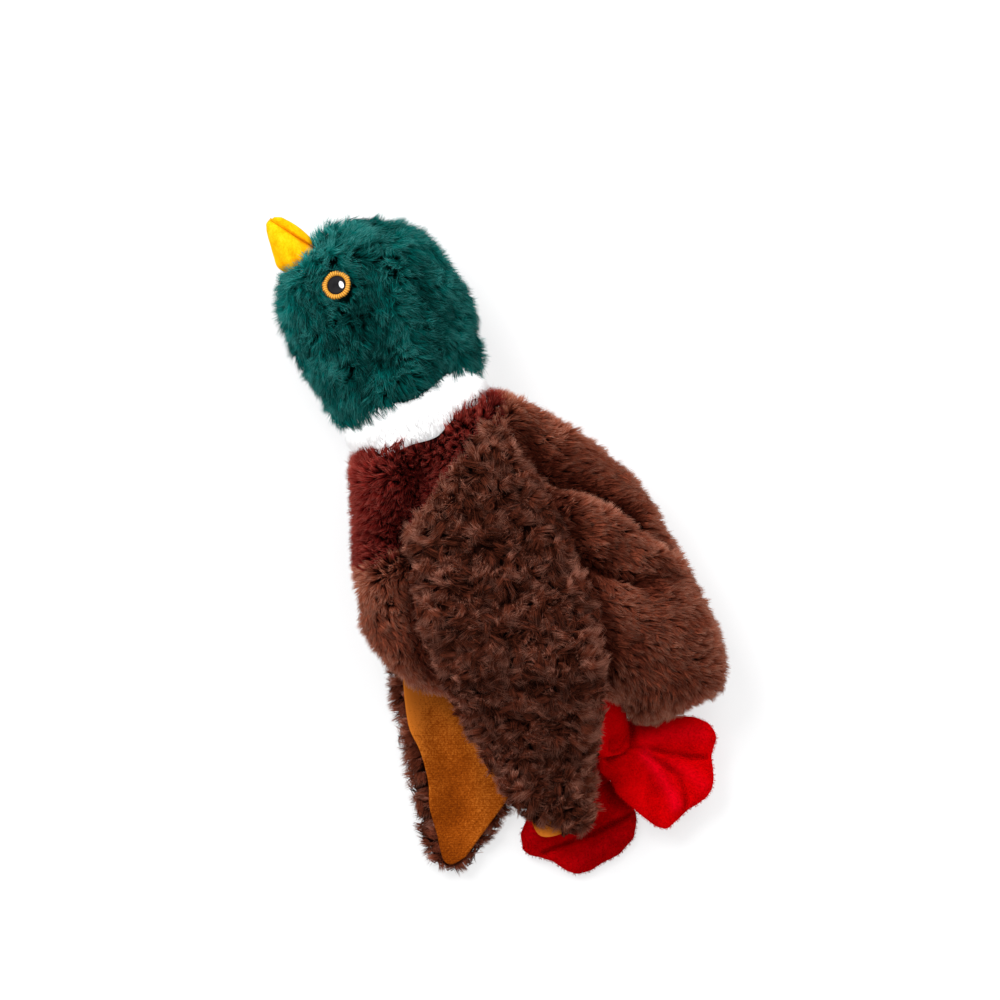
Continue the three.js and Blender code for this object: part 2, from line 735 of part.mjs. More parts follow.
function addFoot(sideName, plan, torso, wing) {
  const top = footLayer(plan, gap, [1, 0], [0, gap / 2]);
  const sole = footLayer(plan, gap, [0, -gap / 2], [-1, 0]);
  const cleared = (solid) => clearedThrough(solid.intersect(floorSide).subtract(wing), torso, plan.hinge,
    plan.lift, swingSteps);
  addMesh(`${sideName}_foot_top`, cleared(top), materials.redVelour);
  addMesh(`${sideName}_foot_sole`, cleared(sole), materials.redVelour);
  const room = footLayer(plan, 0, [1, gap], [-1, -gap]);
  const leg = legForm(plan).subtract(torso).subtract(wing).intersect(floorSide);
  addMesh(`${sideName}_leg`, clearedThrough(leg, room, plan.hinge, -plan.lift, legCutSteps),
    materials.redVelour);
}

// The leg is a flattened tube from the torso's edge seam down to the ankle
function legForm({ root, ankle, ahead }) {
  const leaving = ankle.clone().sub(root).setZ(0).normalize();
  const rings = [];
  for (let i = 0; i <= footRows; i += 1) {
    const share = i / footRows;
    const centre = root.clone().lerp(ankle, share);
    centre.z = THREE.MathUtils.lerp(root.z, ankle.z, smooth(share, 0, 1));
    const onward = leaving.clone().lerp(ahead, share * share).normalize();
    const sideways = new THREE.Vector3(-onward.y, onward.x, 0);
    const half = THREE.MathUtils.lerp(legWidth, ankleWidth, share) / 2;
    const rise = THREE.MathUtils.lerp(legThickness, footThickness, share) / 2;
    const ring = [];
    for (let j = 0; j < beakRing; j += 1) {
      const angle = (2 * Math.PI * j) / beakRing;
      ring.push(centre.clone().addScaledVector(sideways, half * Math.cos(angle))
        .addScaledVector(up, rise * Math.sin(angle)));
    }
    rings.push(ring);
  }
  return swell(rings);
}

addTorso();
addCollar();
addHead();
addBeak();
const torsoWithGap = torsoForm(-gap);
addNearWing(torsoWithGap.add(neckHollow));
addFarWing(torsoWithGap.add(neckHollow));
const wingWithGap = farWingPad(gap);
addFoot('left', legPlan(nearLeg), torsoWithGap, wingWithGap);
addFoot('right', legPlan(farLeg), torsoWithGap, wingWithGap);

// The origin stands at the middle of the toy's plan, on the surface that it lies on
const extent = new THREE.Box3().setFromObject(toy);
const middleOfPlan = extent.getCenter(new THREE.Vector3());
toy.position.set(-middleOfPlan.x, -middleOfPlan.y, -extent.min.z);

export default group;
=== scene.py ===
# A plush mallard lying on its right side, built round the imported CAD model.
# Shapes are worked out in millimetres from the middle of the neck opening, then put in as metres.
import bpy
import numpy as np
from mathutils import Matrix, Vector


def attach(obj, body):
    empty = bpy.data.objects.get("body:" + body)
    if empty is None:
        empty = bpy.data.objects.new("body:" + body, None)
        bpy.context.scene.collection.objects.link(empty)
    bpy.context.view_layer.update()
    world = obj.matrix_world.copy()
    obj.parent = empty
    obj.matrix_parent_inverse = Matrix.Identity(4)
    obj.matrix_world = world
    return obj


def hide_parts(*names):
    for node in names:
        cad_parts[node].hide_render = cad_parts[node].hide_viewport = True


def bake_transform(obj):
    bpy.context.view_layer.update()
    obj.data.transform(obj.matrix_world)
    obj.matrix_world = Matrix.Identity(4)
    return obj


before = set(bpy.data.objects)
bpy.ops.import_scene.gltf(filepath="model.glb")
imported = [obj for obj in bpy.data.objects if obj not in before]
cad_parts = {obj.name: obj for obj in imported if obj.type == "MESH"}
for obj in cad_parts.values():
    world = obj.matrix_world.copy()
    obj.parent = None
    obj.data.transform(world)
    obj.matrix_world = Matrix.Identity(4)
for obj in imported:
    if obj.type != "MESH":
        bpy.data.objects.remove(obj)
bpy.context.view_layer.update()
print("stage: frame loaded with", len(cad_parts), "nodes")

mm = 0.001
home = np.array([36.6035, 45.9052, 0.0])  # the neck opening, measured from the middle of the plan
up = np.array([0.0, 0.0, 1.0])
# millimetres on each axis to a pixel of the photograph, and the pixel of the neck opening
photo = {"step": 0.3182, "opening": (422, 425)}


# Numbers and shapes

# Value of one column of a table at many places: a smooth cubic between its rows
def tableAt(table, place, column):
    rows = np.asarray(table, float)
    at, values = rows[:, 0], rows[:, column]
    slopes = np.gradient(values, at)
    place = np.clip(np.asarray(place, float), at[0], at[-1])
    i = np.clip(np.searchsorted(at, place) - 1, 0, len(at) - 2)
    span = at[i + 1] - at[i]
    t = (place - at[i]) / span
    rise = values[i + 1] - values[i]
    leave, arrive = slopes[i] * span, slopes[i + 1] * span
    return values[i] + t * (leave + t * (3 * rise - 2 * leave - arrive + t * (leave + arrive - 2 * rise)))


# Soft step from 0 to 1 between two values
def softStep(value, start, end):
    t = np.clip((value - start) / (end - start), 0, 1)
    return t * t * (3 - 2 * t)


# Unit vectors along the last axis
def unit(vectors):
    return vectors / np.maximum(np.linalg.norm(vectors, axis=-1, keepdims=True), 1e-9)


def heading(degrees):
    angle = np.radians(degrees)
    return np.array([np.cos(angle), np.sin(angle), 0.0])


# Slow unevenness from -1 to 1: a sum of sine waves that run in mixed directions
def ripple(points, size, seed, waves=7):
    rng = np.random.default_rng(seed)
    ways = unit(rng.normal(size=(waves, 3))) * (2 * np.pi / size) * rng.uniform(0.7, 1.5, (waves, 1))
    return np.sin(points @ ways.T + rng.uniform(0, 2 * np.pi, waves)).sum(-1) / np.sqrt(waves)


# Places down a table's first column, closer at its end: a straight run mixed with a quarter of a sine wave
def downTable(table, rows, bunched):
    share = np.linspace(0, 1, rows)
    first, last = table[0][0], table[-1][0]
    return first + (last - first) * ((1 - bunched) * share + bunched * np.sin(share * np.pi / 2))


# Superellipse section: signed cosine and sine, each raised to 2 / power
def ovalRing(power, underPower, count):
    angle = np.linspace(0, 2 * np.pi, count, endpoint=False)
    c, s = np.cos(angle), np.sin(angle)
    power = np.where(s >= 0, power, underPower)
    return np.sign(c) * np.abs(c) ** (2 / power), np.sign(s) * np.abs(s) ** (2 / power)


# Height of a superellipse over a place between its two edges, as a share of its rise
def ovalHeight(place, left, right, power):
    share = np.clip(np.abs(place - (left + right) / 2) / ((right - left) / 2), 0, 1)
    return (1 - share ** power) ** (1 / power)


# Outward normals of a grid of points, from the cross product of its two slopes
def gridNormals(grid, wrap, outward):
    along = np.gradient(grid, axis=0)
    if wrap:
        across = np.roll(grid, -1, axis=1) - np.roll(grid, 1, axis=1)
    else:
        across = np.gradient(grid, axis=1)
    normals = unit(np.cross(along, across))
    return normals if (normals * outward(grid)).sum() > 0 else -normals


# Where a pixel of the photograph is on the plan, in millimetres from the neck opening
def spot(px, py):
    right, down = px - photo["opening"][0], py - photo["opening"][1]
    return photo["step"] * (right - down), -photo["step"] * (right + down)


def spots(*pixels):
    return [spot(*pixel) for pixel in pixels]


# Nearest distance on the plan from each point to a line through a few places
def lineGap(points, line):
    line = np.array(line, float)
    best = np.full(points.shape[:-1], 1e9)
    for a, b in zip(line[:-1], line[1:]):
        t = np.clip(((points[..., :2] - a) @ (b - a)) / ((b - a) @ (b - a)), 0, 1)
        best = np.minimum(best, np.linalg.norm(points[..., :2] - a - t[..., None] * (b - a), axis=-1))
    return best


# Folds pressed into a surface: a bell across each line, of a depth and a width; a ridge has a negative depth
def pressed(points, folds):
    return sum(deep * np.exp(-(lineGap(points, line) / wide) ** 2) for line, deep, wide in folds)


# Direction away from a few lines, strongest beside them: the downhill slope of a bell across each line
def awayFrom(points, folds, wide):
    def bells(x, y):
        moved = points[:, :2] + np.array([x, y])
        return sum(np.exp(-(lineGap(moved, line) / wide) ** 2) for line, _, _ in folds)
    slopes = [bells(-0.5, 0) - bells(0.5, 0), bells(0, -0.5) - bells(0, 0.5), np.zeros(len(points))]
    return np.stack(slopes, -1) * wide


fromMiddle = lambda grid: grid - grid.mean((0, 1))
upwards = lambda grid: np.broadcast_to(up, grid.shape)


def surfaceOf(grid, wrap=True, outward=fromMiddle):
    return {"grid": grid, "normals": gridNormals(grid, wrap, outward), "wrap": wrap}


# Meshes

def meshFrom(name, points, corners, sides):
    mesh = bpy.data.meshes.new(name)
    mesh.vertices.add(len(points))
    mesh.vertices.foreach_set("co", ((points + home) * mm).astype(np.float32).ravel())
    mesh.loops.add(len(corners))
    mesh.loops.foreach_set("vertex_index", corners.astype(np.int32))
    mesh.polygons.add(len(sides))
    mesh.polygons.foreach_set("loop_start", (np.cumsum(sides) - sides).astype(np.int32))
    mesh.update(calc_edges=True)
    mesh.polygons.foreach_set("use_smooth", np.ones(len(sides), bool))
    piece = bpy.data.objects.new(name, mesh)
    bpy.context.collection.objects.link(piece)
    return piece


def setMap(piece, name, values):
    layer = piece.data.uv_layers.new(name=name)
    layer.data.foreach_set("uv", values.astype(np.float32).ravel())


# A closed skin from rings of points, each end closed by a fan to its middle
def closedSkin(name, surface):
    grid = surface["grid"]
    rows, count = grid.shape[:2]
    points = np.concatenate([grid.reshape(-1, 3), grid[0].mean(0)[None], grid[-1].mean(0)[None]])
    i, j = np.meshgrid(np.arange(rows - 1), np.arange(count), indexing="ij")
    a, b = i * count + j, i * count + (j + 1) % count
    quads = np.stack([a, b, b + count, a + count], -1).reshape(-1, 4)
    ring = np.arange(count)
    nextOne = (ring + 1) % count
    startFan = np.stack([nextOne, ring, np.full(count, rows * count)], -1)
    last = (rows - 1) * count
    endFan = np.stack([last + ring, last + nextOne, np.full(count, rows * count + 1)], -1)
    return orient(name, points, quads, np.concatenate([startFan, endFan]))


# A pad between an upper and a lower grid of the same size, closed round the rim
def closedPad(name, upper, lower):
    rows, columns = upper.shape[:2]
    points = np.concatenate([upper.reshape(-1, 3), lower.reshape(-1, 3)])
    half = rows * columns
    i, j = np.meshgrid(np.arange(rows - 1), np.arange(columns - 1), indexing="ij")
    a = i * columns + j
    top = np.stack([a, a + columns, a + columns + 1, a + 1], -1).reshape(-1, 4)
    index = np.arange(half).reshape(rows, columns)
    rim = np.concatenate([index[0, :-1], index[:-1, -1], index[-1, :0:-1], index[:0:-1, 0]])
    after = np.roll(rim, -1)
    side = np.stack([rim, after, after + half, rim + half], -1)
    return orient(name, points, np.concatenate([top, top[:, ::-1] + half, side]), np.zeros((0, 3), int))


# Puts quads and triangles in, all turned over if the volume they enclose comes out negative
def orient(name, points, quads, triangles):
    corner = points[quads]
    fans = [(corner[:, 0] * np.cross(corner[:, k], corner[:, k + 1])).sum() for k in (1, 2)]
    three = points[triangles]
    volume = sum(fans) + (three[:, 0] * np.cross(three[:, 1], three[:, 2])).sum()
    if volume < 0:
        quads, triangles = quads[:, ::-1], triangles[:, ::-1]
    corners = np.concatenate([quads.ravel(), triangles.ravel()])
    sides = np.concatenate([np.full(len(quads), 4), np.full(len(triangles), 3)])
    return meshFrom(name, points, corners, sides)


# A map with one value at each vertex
def vertexMap(piece, name, values):
    index = np.empty(len(piece.data.loops), np.int32)
    piece.data.loops.foreach_get("vertex_index", index)
    setMap(piece, name, values[index])


def place(piece, body, slotName, finish, *nodes):
    piece.data.materials.append(finish)
    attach(piece, body)
    if nodes:
        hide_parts(*nodes)
    return piece


# Pile

# Scatters roots over a surface evenly by area: cells are chosen by their share of the running total
def scatter(surface, perSquare, rng, weight=None):
    grid, normals = surface["grid"], surface["normals"]
    if surface["wrap"]:
        grid = np.concatenate([grid, grid[:, :1]], 1)
        normals = np.concatenate([normals, normals[:, :1]], 1)
    along, across = grid[1:, :-1] - grid[:-1, :-1], grid[:-1, 1:] - grid[:-1, :-1]
    area = np.linalg.norm(np.cross(along, across), axis=-1)
    middle = (grid[1:, 1:] + grid[:-1, :-1]) / 2
    if weight is not None:
        area = area * weight(middle, normals[:-1, :-1])
    total = np.cumsum(area.ravel())
    count = int(total[-1] * perSquare)
    picks = (np.arange(count) + rng.random(count)) / count * total[-1]
    i, j = np.unravel_index(np.minimum(np.searchsorted(total, picks), area.size - 1), area.shape)
    s, t = rng.random((2, count, 1))

    def blended(values):
        near = values[i, j] * (1 - s) + values[i + 1, j] * s
        far = values[i, j + 1] * (1 - s) + values[i + 1, j + 1] * s
        return near * (1 - t) + far * t

    return blended(grid), unit(blended(normals))


# Scrambles whole numbers into three even numbers from 0 to 1
def scrambled(keys, seed):
    out = []
    for k in range(3):
        x = (keys + seed * 7919 + k * 104729).astype(np.uint64) * np.uint64(0x9E3779B97F4A7C15)
        x ^= x >> np.uint64(31)
        x *= np.uint64(0xBF58476D1CE4E5B9)
        x ^= x >> np.uint64(29)
        out.append((x >> np.uint64(40)).astype(float) / 2 ** 24)
    return np.stack(out, -1)


# Which tuft each root belongs to: the nearest of the points strewn one to a cubic cell
def tuftOf(points, size, seed):
    base = np.floor(points / size).astype(np.int64)
    best, nearest = np.full(len(points), 1e9), np.zeros(len(points), np.int64)
    for step in np.ndindex(3, 3, 3):
        cell = base + np.array(step) - 1
        key = ((cell[:, 0] + 4096) << 26) + ((cell[:, 1] + 4096) << 13) + cell[:, 2] + 4096
        gap = np.linalg.norm((cell + scrambled(key, seed)) * size - points, axis=1)
        closer = gap < best
        best, nearest = np.where(closer, gap, best), np.where(closer, key, nearest)
    return np.unique(nearest, return_inverse=True)[1]


def tuftMean(values, tuft):
    counts = np.maximum(np.bincount(tuft), 1)[:, None]
    return np.stack([np.bincount(tuft, values[:, k]) for k in range(3)], -1) / counts


growth = {
    "mostLean": 0.95, "aim": 1.6, "bend": 1.3,  # limits of a fibre's lean, of a tuft's turn and of its bend
    "stretch": 1.2,                     # a fibre drawn to its tuft gets longer by a fifth at most
    "elbow": 0.45, "upright": 0.65,     # where its middle is, and how much that keeps to the surface's normal
    "tipBack": 0.6,                     # how much of the bend its tip makes the other way
    # painted shade: a fibre is darker in a fold, and painted light makes it lighter on a ridge
    "foldLength": 0.5, "paintedFoldShade": 0.6,  # how much shorter and darker it is in a fold
}


# Grows fibres: each leans the way the pile is combed, the more the longer the comb's vector, and its tip
# is drawn to the tip of its tuft. Each tip also turns about the tuft's own axis, and each tuft has its bend.
def growPile(surface, pile, comb, weight=None, fold=None):
    rng = np.random.default_rng(pile["seed"])
    root, normal = scatter(surface, pile["perSquare"], rng, weight)
    count = len(root)
    flow = comb(root, normal)
    force = np.linalg.norm(flow, axis=-1, keepdims=True)
    flow = unit(flow - (flow * normal).sum(-1, keepdims=True) * normal)
    lean = pile["lean"] * force + pile["leanRoom"] * ripple(root, pile["patch"], pile["seed"] + 1)[:, None]
    lean = np.clip(lean, 0, growth["mostLean"])
    stray = rng.normal(size=(count, 3)) * pile["stray"]
    way = unit(normal * (1 - lean) + flow * lean + stray)
    length = pile["length"] * (1 + pile["lengthRoom"] * rng.uniform(-1, 1, (count, 1)))
    deep = np.zeros(count) if fold is None else fold(root)
    length = length * (1 - growth["foldLength"] * deep.clip(0, 1))[:, None]
    tuft = tuftOf(root, pile["tuftSize"], pile["seed"])
    heart, aim = tuftMean(root, tuft), tuftMean(way, tuft)
    fromHeart = np.linalg.norm(root - heart[tuft], axis=1) / pile["tuftSize"]
    tufts = len(heart)
    aim = unit(aim + rng.uniform(-growth["aim"], growth["aim"], (tufts, 3)) * pile["tuftStray"])
    reach = tuftMean(np.repeat(length, 3, 1), tuft)[:, :1]
    reach = reach * (1 + pile["tuftRoom"] * rng.uniform(-1, 1, (tufts, 1)))
    ownTip = root + way * length
    offset = root - heart[tuft]
    turn = np.radians(pile["curl"]) * rng.uniform(0.5, 1.2, (tufts, 1))[tuft]
    swirl = offset * np.cos(turn) + np.cross(aim[tuft], offset) * np.sin(turn)
    tuftTip = heart[tuft] + aim[tuft] * reach[tuft] + swirl * pile["spread"]
    draw = pile["draw"] * rng.uniform(0.75, 1.1, (count, 1))
    tip = ownTip * (1 - draw) + tuftTip * draw
    stretch = np.linalg.norm(tip - root, axis=1, keepdims=True) / length
    tip = root + (tip - root) / np.maximum(stretch / growth["stretch"], 1)
    upright = growth["upright"]
    middle = root + (normal * upright + unit(tip - root) * (1 - upright)) * length * growth["elbow"]
    bent = np.cross(aim, rng.uniform(-growth["bend"], growth["bend"], (tufts, 3)))
    bend = bent[tuft] * pile["bend"] * length
    middle, tip = middle + bend, tip - bend * growth["tipBack"]
    shade = 0.5 + pile["fibreShade"] * rng.uniform(-1, 1, count)
    shade += pile["tuftShade"] * rng.uniform(-1, 1, tufts)[tuft]
    shade += pile["patchShade"] * ripple(root, pile["patch"], pile["seed"] + 2)
    shade += pile["lockShade"] * ripple(root, pile["tuftSize"] * 0.8, pile["seed"] + 3)
    # painted light on top by the pile's signed amount (below 0 it paints shade), painted light on the sides,
    # and painted shade at the rim of each tuft and in folds
    shade += pile["paintedTopLight"] * softStep(normal[:, 2], 0.5, 1.0)
    shade += pile["paintedEdgeLight"] * softStep(normal[:, 2], 0.85, 0.1)
    shade += pile["paintedTuftRimShade"] * (0.35 - fromHeart) * 2 - growth["paintedFoldShade"] * deep
    width = pile["width"] * rng.uniform(0.7, 1.2, (count, 1))
    return {"root": root, "middle": middle, "tip": tip, "width": width, "shade": shade}


def keep(fibres, kept):
    return {key: values[kept] for key, values in fibres.items()}


# Without the fibres whose tips end farther than this from their roots, seen from above
def notFlung(fibres, far):
    return keep(fibres, np.linalg.norm((fibres["tip"] - fibres["root"])[:, :2], axis=1) < far)


def together(*groups):
    return {key: np.concatenate([group[key] for group in groups]) for key in groups[0]}


# The fibre's points never go under what the toy lies on
def rested(fibres, floor):
    for key, lift in (("middle", 0.45), ("tip", 0.3)):
        points = fibres[key]
        points[:, 2] = np.maximum(points[:, 2], floor(points) + lift)
    return fibres


# Each fibre is a closed spindle: a root point, a three-cornered ring and a tip point.
# Its place on the two maps is shade across and root to tip upwards, which is all its colour needs.
def fibreMesh(name, fibres):
    root, middle, tip = fibres["root"], fibres["middle"], fibres["tip"]
    count = len(root)
    axis = unit(tip - root)
    side = unit(np.cross(axis, np.where(np.abs(axis[:, 2:]) < 0.9, up, np.array([1.0, 0, 0]))))
    other = np.cross(axis, side)
    points = np.empty((count, 5, 3))
    points[:, 0], points[:, 4] = root, tip
    for k in range(3):
        angle = 2 * np.pi * k / 3
        points[:, k + 1] = middle + (side * np.cos(angle) + other * np.sin(angle)) * fibres["width"] / 2
    face = np.array([[0, 2, 1], [0, 3, 2], [0, 1, 3], [1, 2, 4], [2, 3, 4], [3, 1, 4]])
    corners = (face[None] + (np.arange(count) * 5)[:, None, None]).ravel()
    piece = meshFrom(name, points.reshape(-1, 3), corners, np.full(count * 6, 3))
    shade = np.clip(fibres["shade"], 0, 1) * 0.96 + 0.02
    mapAt = np.empty((count, 5, 2))
    for k, (step, height) in enumerate([(0, 0.02), (-1, 0.45), (0, 0.5), (1, 0.45), (0, 0.98)]):
        mapAt[:, k, 0], mapAt[:, k, 1] = shade + step * 0.004, height
    values = mapAt.reshape(-1, 2)[corners]
    setMap(piece, "pile", values)
    setMap(piece, "OFBake", values)
    return piece


# A pile is shared out over pieces of fewer fibres, in order along the toy
def placePile(name, fibres, body, slotName, finish, most=32000):
    order = np.argsort(-fibres["root"][:, 1], kind="stable")
    parts = int(np.ceil(len(order) / most))
    for k, part in enumerate(np.array_split(order, parts)):
        partName = f"{name}_{k + 1}" if parts > 1 else name
        place(fibreMesh(partName, keep(fibres, part)), body, slotName, finish)
    print("stage:", name, len(order), "fibres in", parts, "pieces")


# Finishes

# A socket that takes part in arithmetic: each operator adds its Math node
class Wire:
    def __init__(self, finish, socket):
        self.finish, self.socket = finish, socket

    def math(self, operation, first, second):
        return self.finish.node("ShaderNodeMath", {"operation": operation}, {0: first, 1: second})

    def wave(self):
        return self.finish.node("ShaderNodeMath", {"operation": "SINE"}, {0: self})

    def atLeast(self, least):
        return self.math("MAXIMUM", self, least)

    def __add__(self, other):
        return self.math("ADD", self, other)

    def __radd__(self, other):
        return self.math("ADD", other, self)

    def __sub__(self, other):
        return self.math("SUBTRACT", self, other)

    def __rsub__(self, other):
        return self.math("SUBTRACT", other, self)

    def __mul__(self, other):
        return self.math("MULTIPLY", self, other)

    def __rmul__(self, other):
        return self.math("MULTIPLY", other, self)


# The nodes of a material or of the world
class Nodes:
    def __init__(self, tree):
        self.tree = tree

    def feed(self, socket, value):
        if isinstance(value, Wire):
            self.tree.links.new(value.socket, socket)
        elif isinstance(value, (tuple, list)) and len(value) == 3 and socket.type == "RGBA":
            socket.default_value = (*value, 1)
        else:
            socket.default_value = value

    # Adds one node: its settings first, then its sockets; gives the wanted output as a wire
    def node(self, kind, settings=None, sockets=None, output=0):
        made = self.tree.nodes.new(kind)
        for key, value in (settings or {}).items():
            if key == "stops":
                ramp = made.color_ramp
                while len(ramp.elements) < len(value):
                    ramp.elements.new(0.5)
                for element, (position, colour) in zip(ramp.elements, value):
                    element.position, element.color = position, (*linear(colour), 1)
            else:
                setattr(made, key, value)
        for key, value in (sockets or {}).items():
            self.feed(made.inputs[key], value)
        return Wire(self, made.outputs[output])

    def parts(self, vector):
        outputs = self.node("ShaderNodeSeparateXYZ", {}, {0: vector}).socket.node.outputs
        return [Wire(self, outputs[k]) for k in range(3)]

    # 1 for the rays that see the background: the camera's own, and those by way of gloss and glass
    def seen(self):
        rays = self.node("ShaderNodeLightPath").socket.node.outputs
        kinds = ("Is Camera Ray", "Is Glossy Ray", "Is Transmission Ray")
        camera, gloss, glass = [Wire(self, rays[kind]) for kind in kinds]
        return camera.atLeast(gloss).atLeast(glass)


class Finish(Nodes):
    def __init__(self, name, **constants):
        self.material = bpy.data.materials.new(name)
        self.material.use_nodes = True
        super().__init__(self.material.node_tree)
        self.shader = self.tree.nodes["Principled BSDF"]
        self.output = self.tree.nodes["Material Output"]
        for key, value in constants.items():
            self.shader.inputs[key.replace("_", " ")].default_value = value

    def surface(self, **sockets):
        for key, value in sockets.items():
            self.feed(self.shader.inputs[key.replace("_", " ")], value)
        return self.material

    def mixed(self, amount, first, second):
        return self.node("ShaderNodeMix", {"data_type": "RGBA"}, {0: amount, 6: first, 7: second}, 2)

    def ramp(self, value, *stops):
        return self.node("ShaderNodeValToRGB", {"stops": stops}, {0: value})

    def position(self):
        return self.node("ShaderNodeTexCoord", output=3)

    def noise(self, where, scale, detail=3.0, roughness=0.5):
        return self.node("ShaderNodeTexNoise", {}, {"Vector": where, "Scale": scale, "Detail": detail,
                                                    "Roughness": roughness})

    def bump(self, height, strength, distance):
        return self.node("ShaderNodeBump", {}, {"Height": height, "Strength": strength, "Distance": distance})


# A colour written as 0 to 255, as the shader wants it
def linear(colour):
    c = np.array(colour, float) / 255
    return tuple(float(x) for x in np.where(c <= 0.04045, c / 12.92, ((c + 0.055) / 1.055) ** 2.4))


# Fibres: two ramps from root to tip, a darker and a lighter, mixed by the fibre's own shade
# Both ramps darken towards the root: partly the fibre's own colour, partly painted shade deep in the pile;
# the fibre's shade holds painted light and shade as well as random tone
def pileFinish(name, dark, light, **constants):
    finish = Finish(name, Roughness=0.7, Specular_IOR_Level=0.02, **constants)
    where = finish.node("ShaderNodeUVMap", {"uv_map": "pile"})
    shade, height, _ = finish.parts(where)
    stops = (0.0, 0.35, 0.7, 1.0)
    darker, lighter = [finish.ramp(height, *zip(stops, colours)) for colours in (dark, light)]
    return finish.surface(Base_Color=finish.mixed(shade, darker, lighter))


# Knitted backing that the pile grows from: its rows and loops show as fine dimples
def backingFinish(name, colour, lighter):
    finish = Finish(name, Roughness=0.9, Specular_IOR_Level=0.02)
    where = finish.position()
    patches = finish.noise(where, 90.0)
    loops = finish.node("ShaderNodeTexVoronoi", {}, {"Vector": where, "Scale": 900.0})
    shaded = finish.mixed(patches, linear(colour), linear(lighter))
    return finish.surface(Base_Color=shaded, Normal=finish.bump(loops, 0.5, 0.0003))


# Velour: nap brushed in patches, with painted highlights in the nap's colour on the ridges and painted shade
# in the creases of the piece's own map
def velourFinish(name, deep, middle, bright, nap, patch=60.0):
    finish = Finish(name, Roughness=0.8, Specular_IOR_Level=0.0, Sheen_Weight=0.25, Sheen_Roughness=0.35)
    finish.feed(finish.shader.inputs["Sheen Tint"], linear(nap))
    where = finish.position()
    ridge, crease, _ = finish.parts(finish.node("ShaderNodeUVMap", {"uv_map": "nap"}))
    brushed = finish.noise(where, patch, 4.0, 0.6)
    fine = finish.noise(where, 1300.0, 3.0, 0.8)
    # painted light on the ridges and painted shade in the creases
    level = brushed * 0.8 + fine * 0.7 - 0.23 + ridge * 0.1 - crease * 0.2
    colour = finish.ramp(level, (0.3, deep), (0.5, middle), (0.7, bright))
    colour = finish.mixed(ridge * brushed * 0.5, colour, linear(nap))
    return finish.surface(Base_Color=colour, Normal=finish.bump(fine + brushed * 0.4, 0.45, 0.0005))


lining = {
    "thickness": 1.0, "flat": (0.125, 0.165),  # millimetres, and metres as cut
    "rows": 6300.0, "rowWander": 4.0,   # radians of knitting to a metre, and how unevenly the rows run
    # painted light and shade: paler towards both sides of the far wing's middle line, so that the fold there
    # looks shaded, up to a limit: the line's place and how fast
    "middleLine": 0.0053, "sideGain": 340.0, "sideMost": 0.22,
    # painted light: paler forward of a place, in two steps, and beyond the far tip: place and how fast
    "forward": (-0.1, 4.0), "front": (-0.068, 6.5), "tip": (-0.108, 14.0),
}


# Tan lining: a brushed knit whose rows run across the wing, with painted light and shade by place
def liningFinish(name):
    finish = Finish(name, Roughness=0.85, Specular_IOR_Level=0.0, Sheen_Weight=0.15, Sheen_Roughness=0.5)
    finish.feed(finish.shader.inputs["Sheen Tint"], linear((200, 110, 40)))
    where = finish.position()
    x, y, _ = finish.parts(where)
    fine = finish.noise(where, 1100.0, 3.0, 0.8)
    rows = ((x * 0.707 + y * 0.707) * lining["rows"] + fine * lining["rowWander"]).wave() * 0.5 + 0.5
    brushed = finish.noise(where, 70.0, 3.0)
    # painted light and shade: paler at both sides of the middle fold, further forward, and past the tip
    aside, most = x - y - lining["middleLine"], lining["sideMost"]
    sides = most - (most - aside * aside * lining["sideGain"]).atLeast(0.0)
    forward, front, tip = lining["forward"], lining["front"], lining["tip"]
    paintedLightAndShade = sides + (tip[0] - y).atLeast(0.0) * tip[1]
    level = brushed * 0.5 + fine * 0.95 + rows * 0.07 - 0.02 + y.atLeast(forward[0]) * forward[1]
    level = level + (y - front[0]).atLeast(0.0) * front[1] + paintedLightAndShade
    colour = finish.ramp(level, (0.25, (98, 40, 5)), (0.5, (142, 66, 11)), (0.75, (196, 108, 34)))
    return finish.surface(Base_Color=colour, Normal=finish.bump(rows * 0.05 + fine, 0.7, 0.0005))


# Satin stitches lie side by side along the second direction of the piece's own map
def threadFinish(name, dark, light, stitches, edge=0.0):
    finish = Finish(name, Roughness=0.5, Specular_IOR_Level=0.2)
    where = finish.node("ShaderNodeUVMap", {"uv_map": "stitch"})
    u, v, _ = finish.parts(where)
    wander = finish.noise(where, 14.0)
    stitch = ((u + wander * 0.01) * (2 * np.pi * stitches)).wave() * 0.5 + 0.5
    # the thread's uneven tone, with painted light on each stitch's crown and painted shade between stitches,
    # on the wave of its bump
    colour = finish.mixed(stitch * 0.75 + wander * 0.25, linear(dark), linear(light))
    if edge:  # darker brown towards both edges of the ring
        outer = (v - 0.5) * (v - 0.5) * 4.0
        colour = finish.mixed(outer * outer * outer * edge, colour, linear((92, 40, 8)))
    return finish.surface(Base_Color=colour, Normal=finish.bump(stitch, 0.6, 0.0002))


greenPile = pileFinish("green plush pile", [(0, 6, 6), (0, 22, 21), (0, 44, 41), (0, 74, 70)],
                       [(0, 32, 30), (0, 76, 72), (8, 124, 117), (100, 188, 182)])
white = (255, 255, 255)
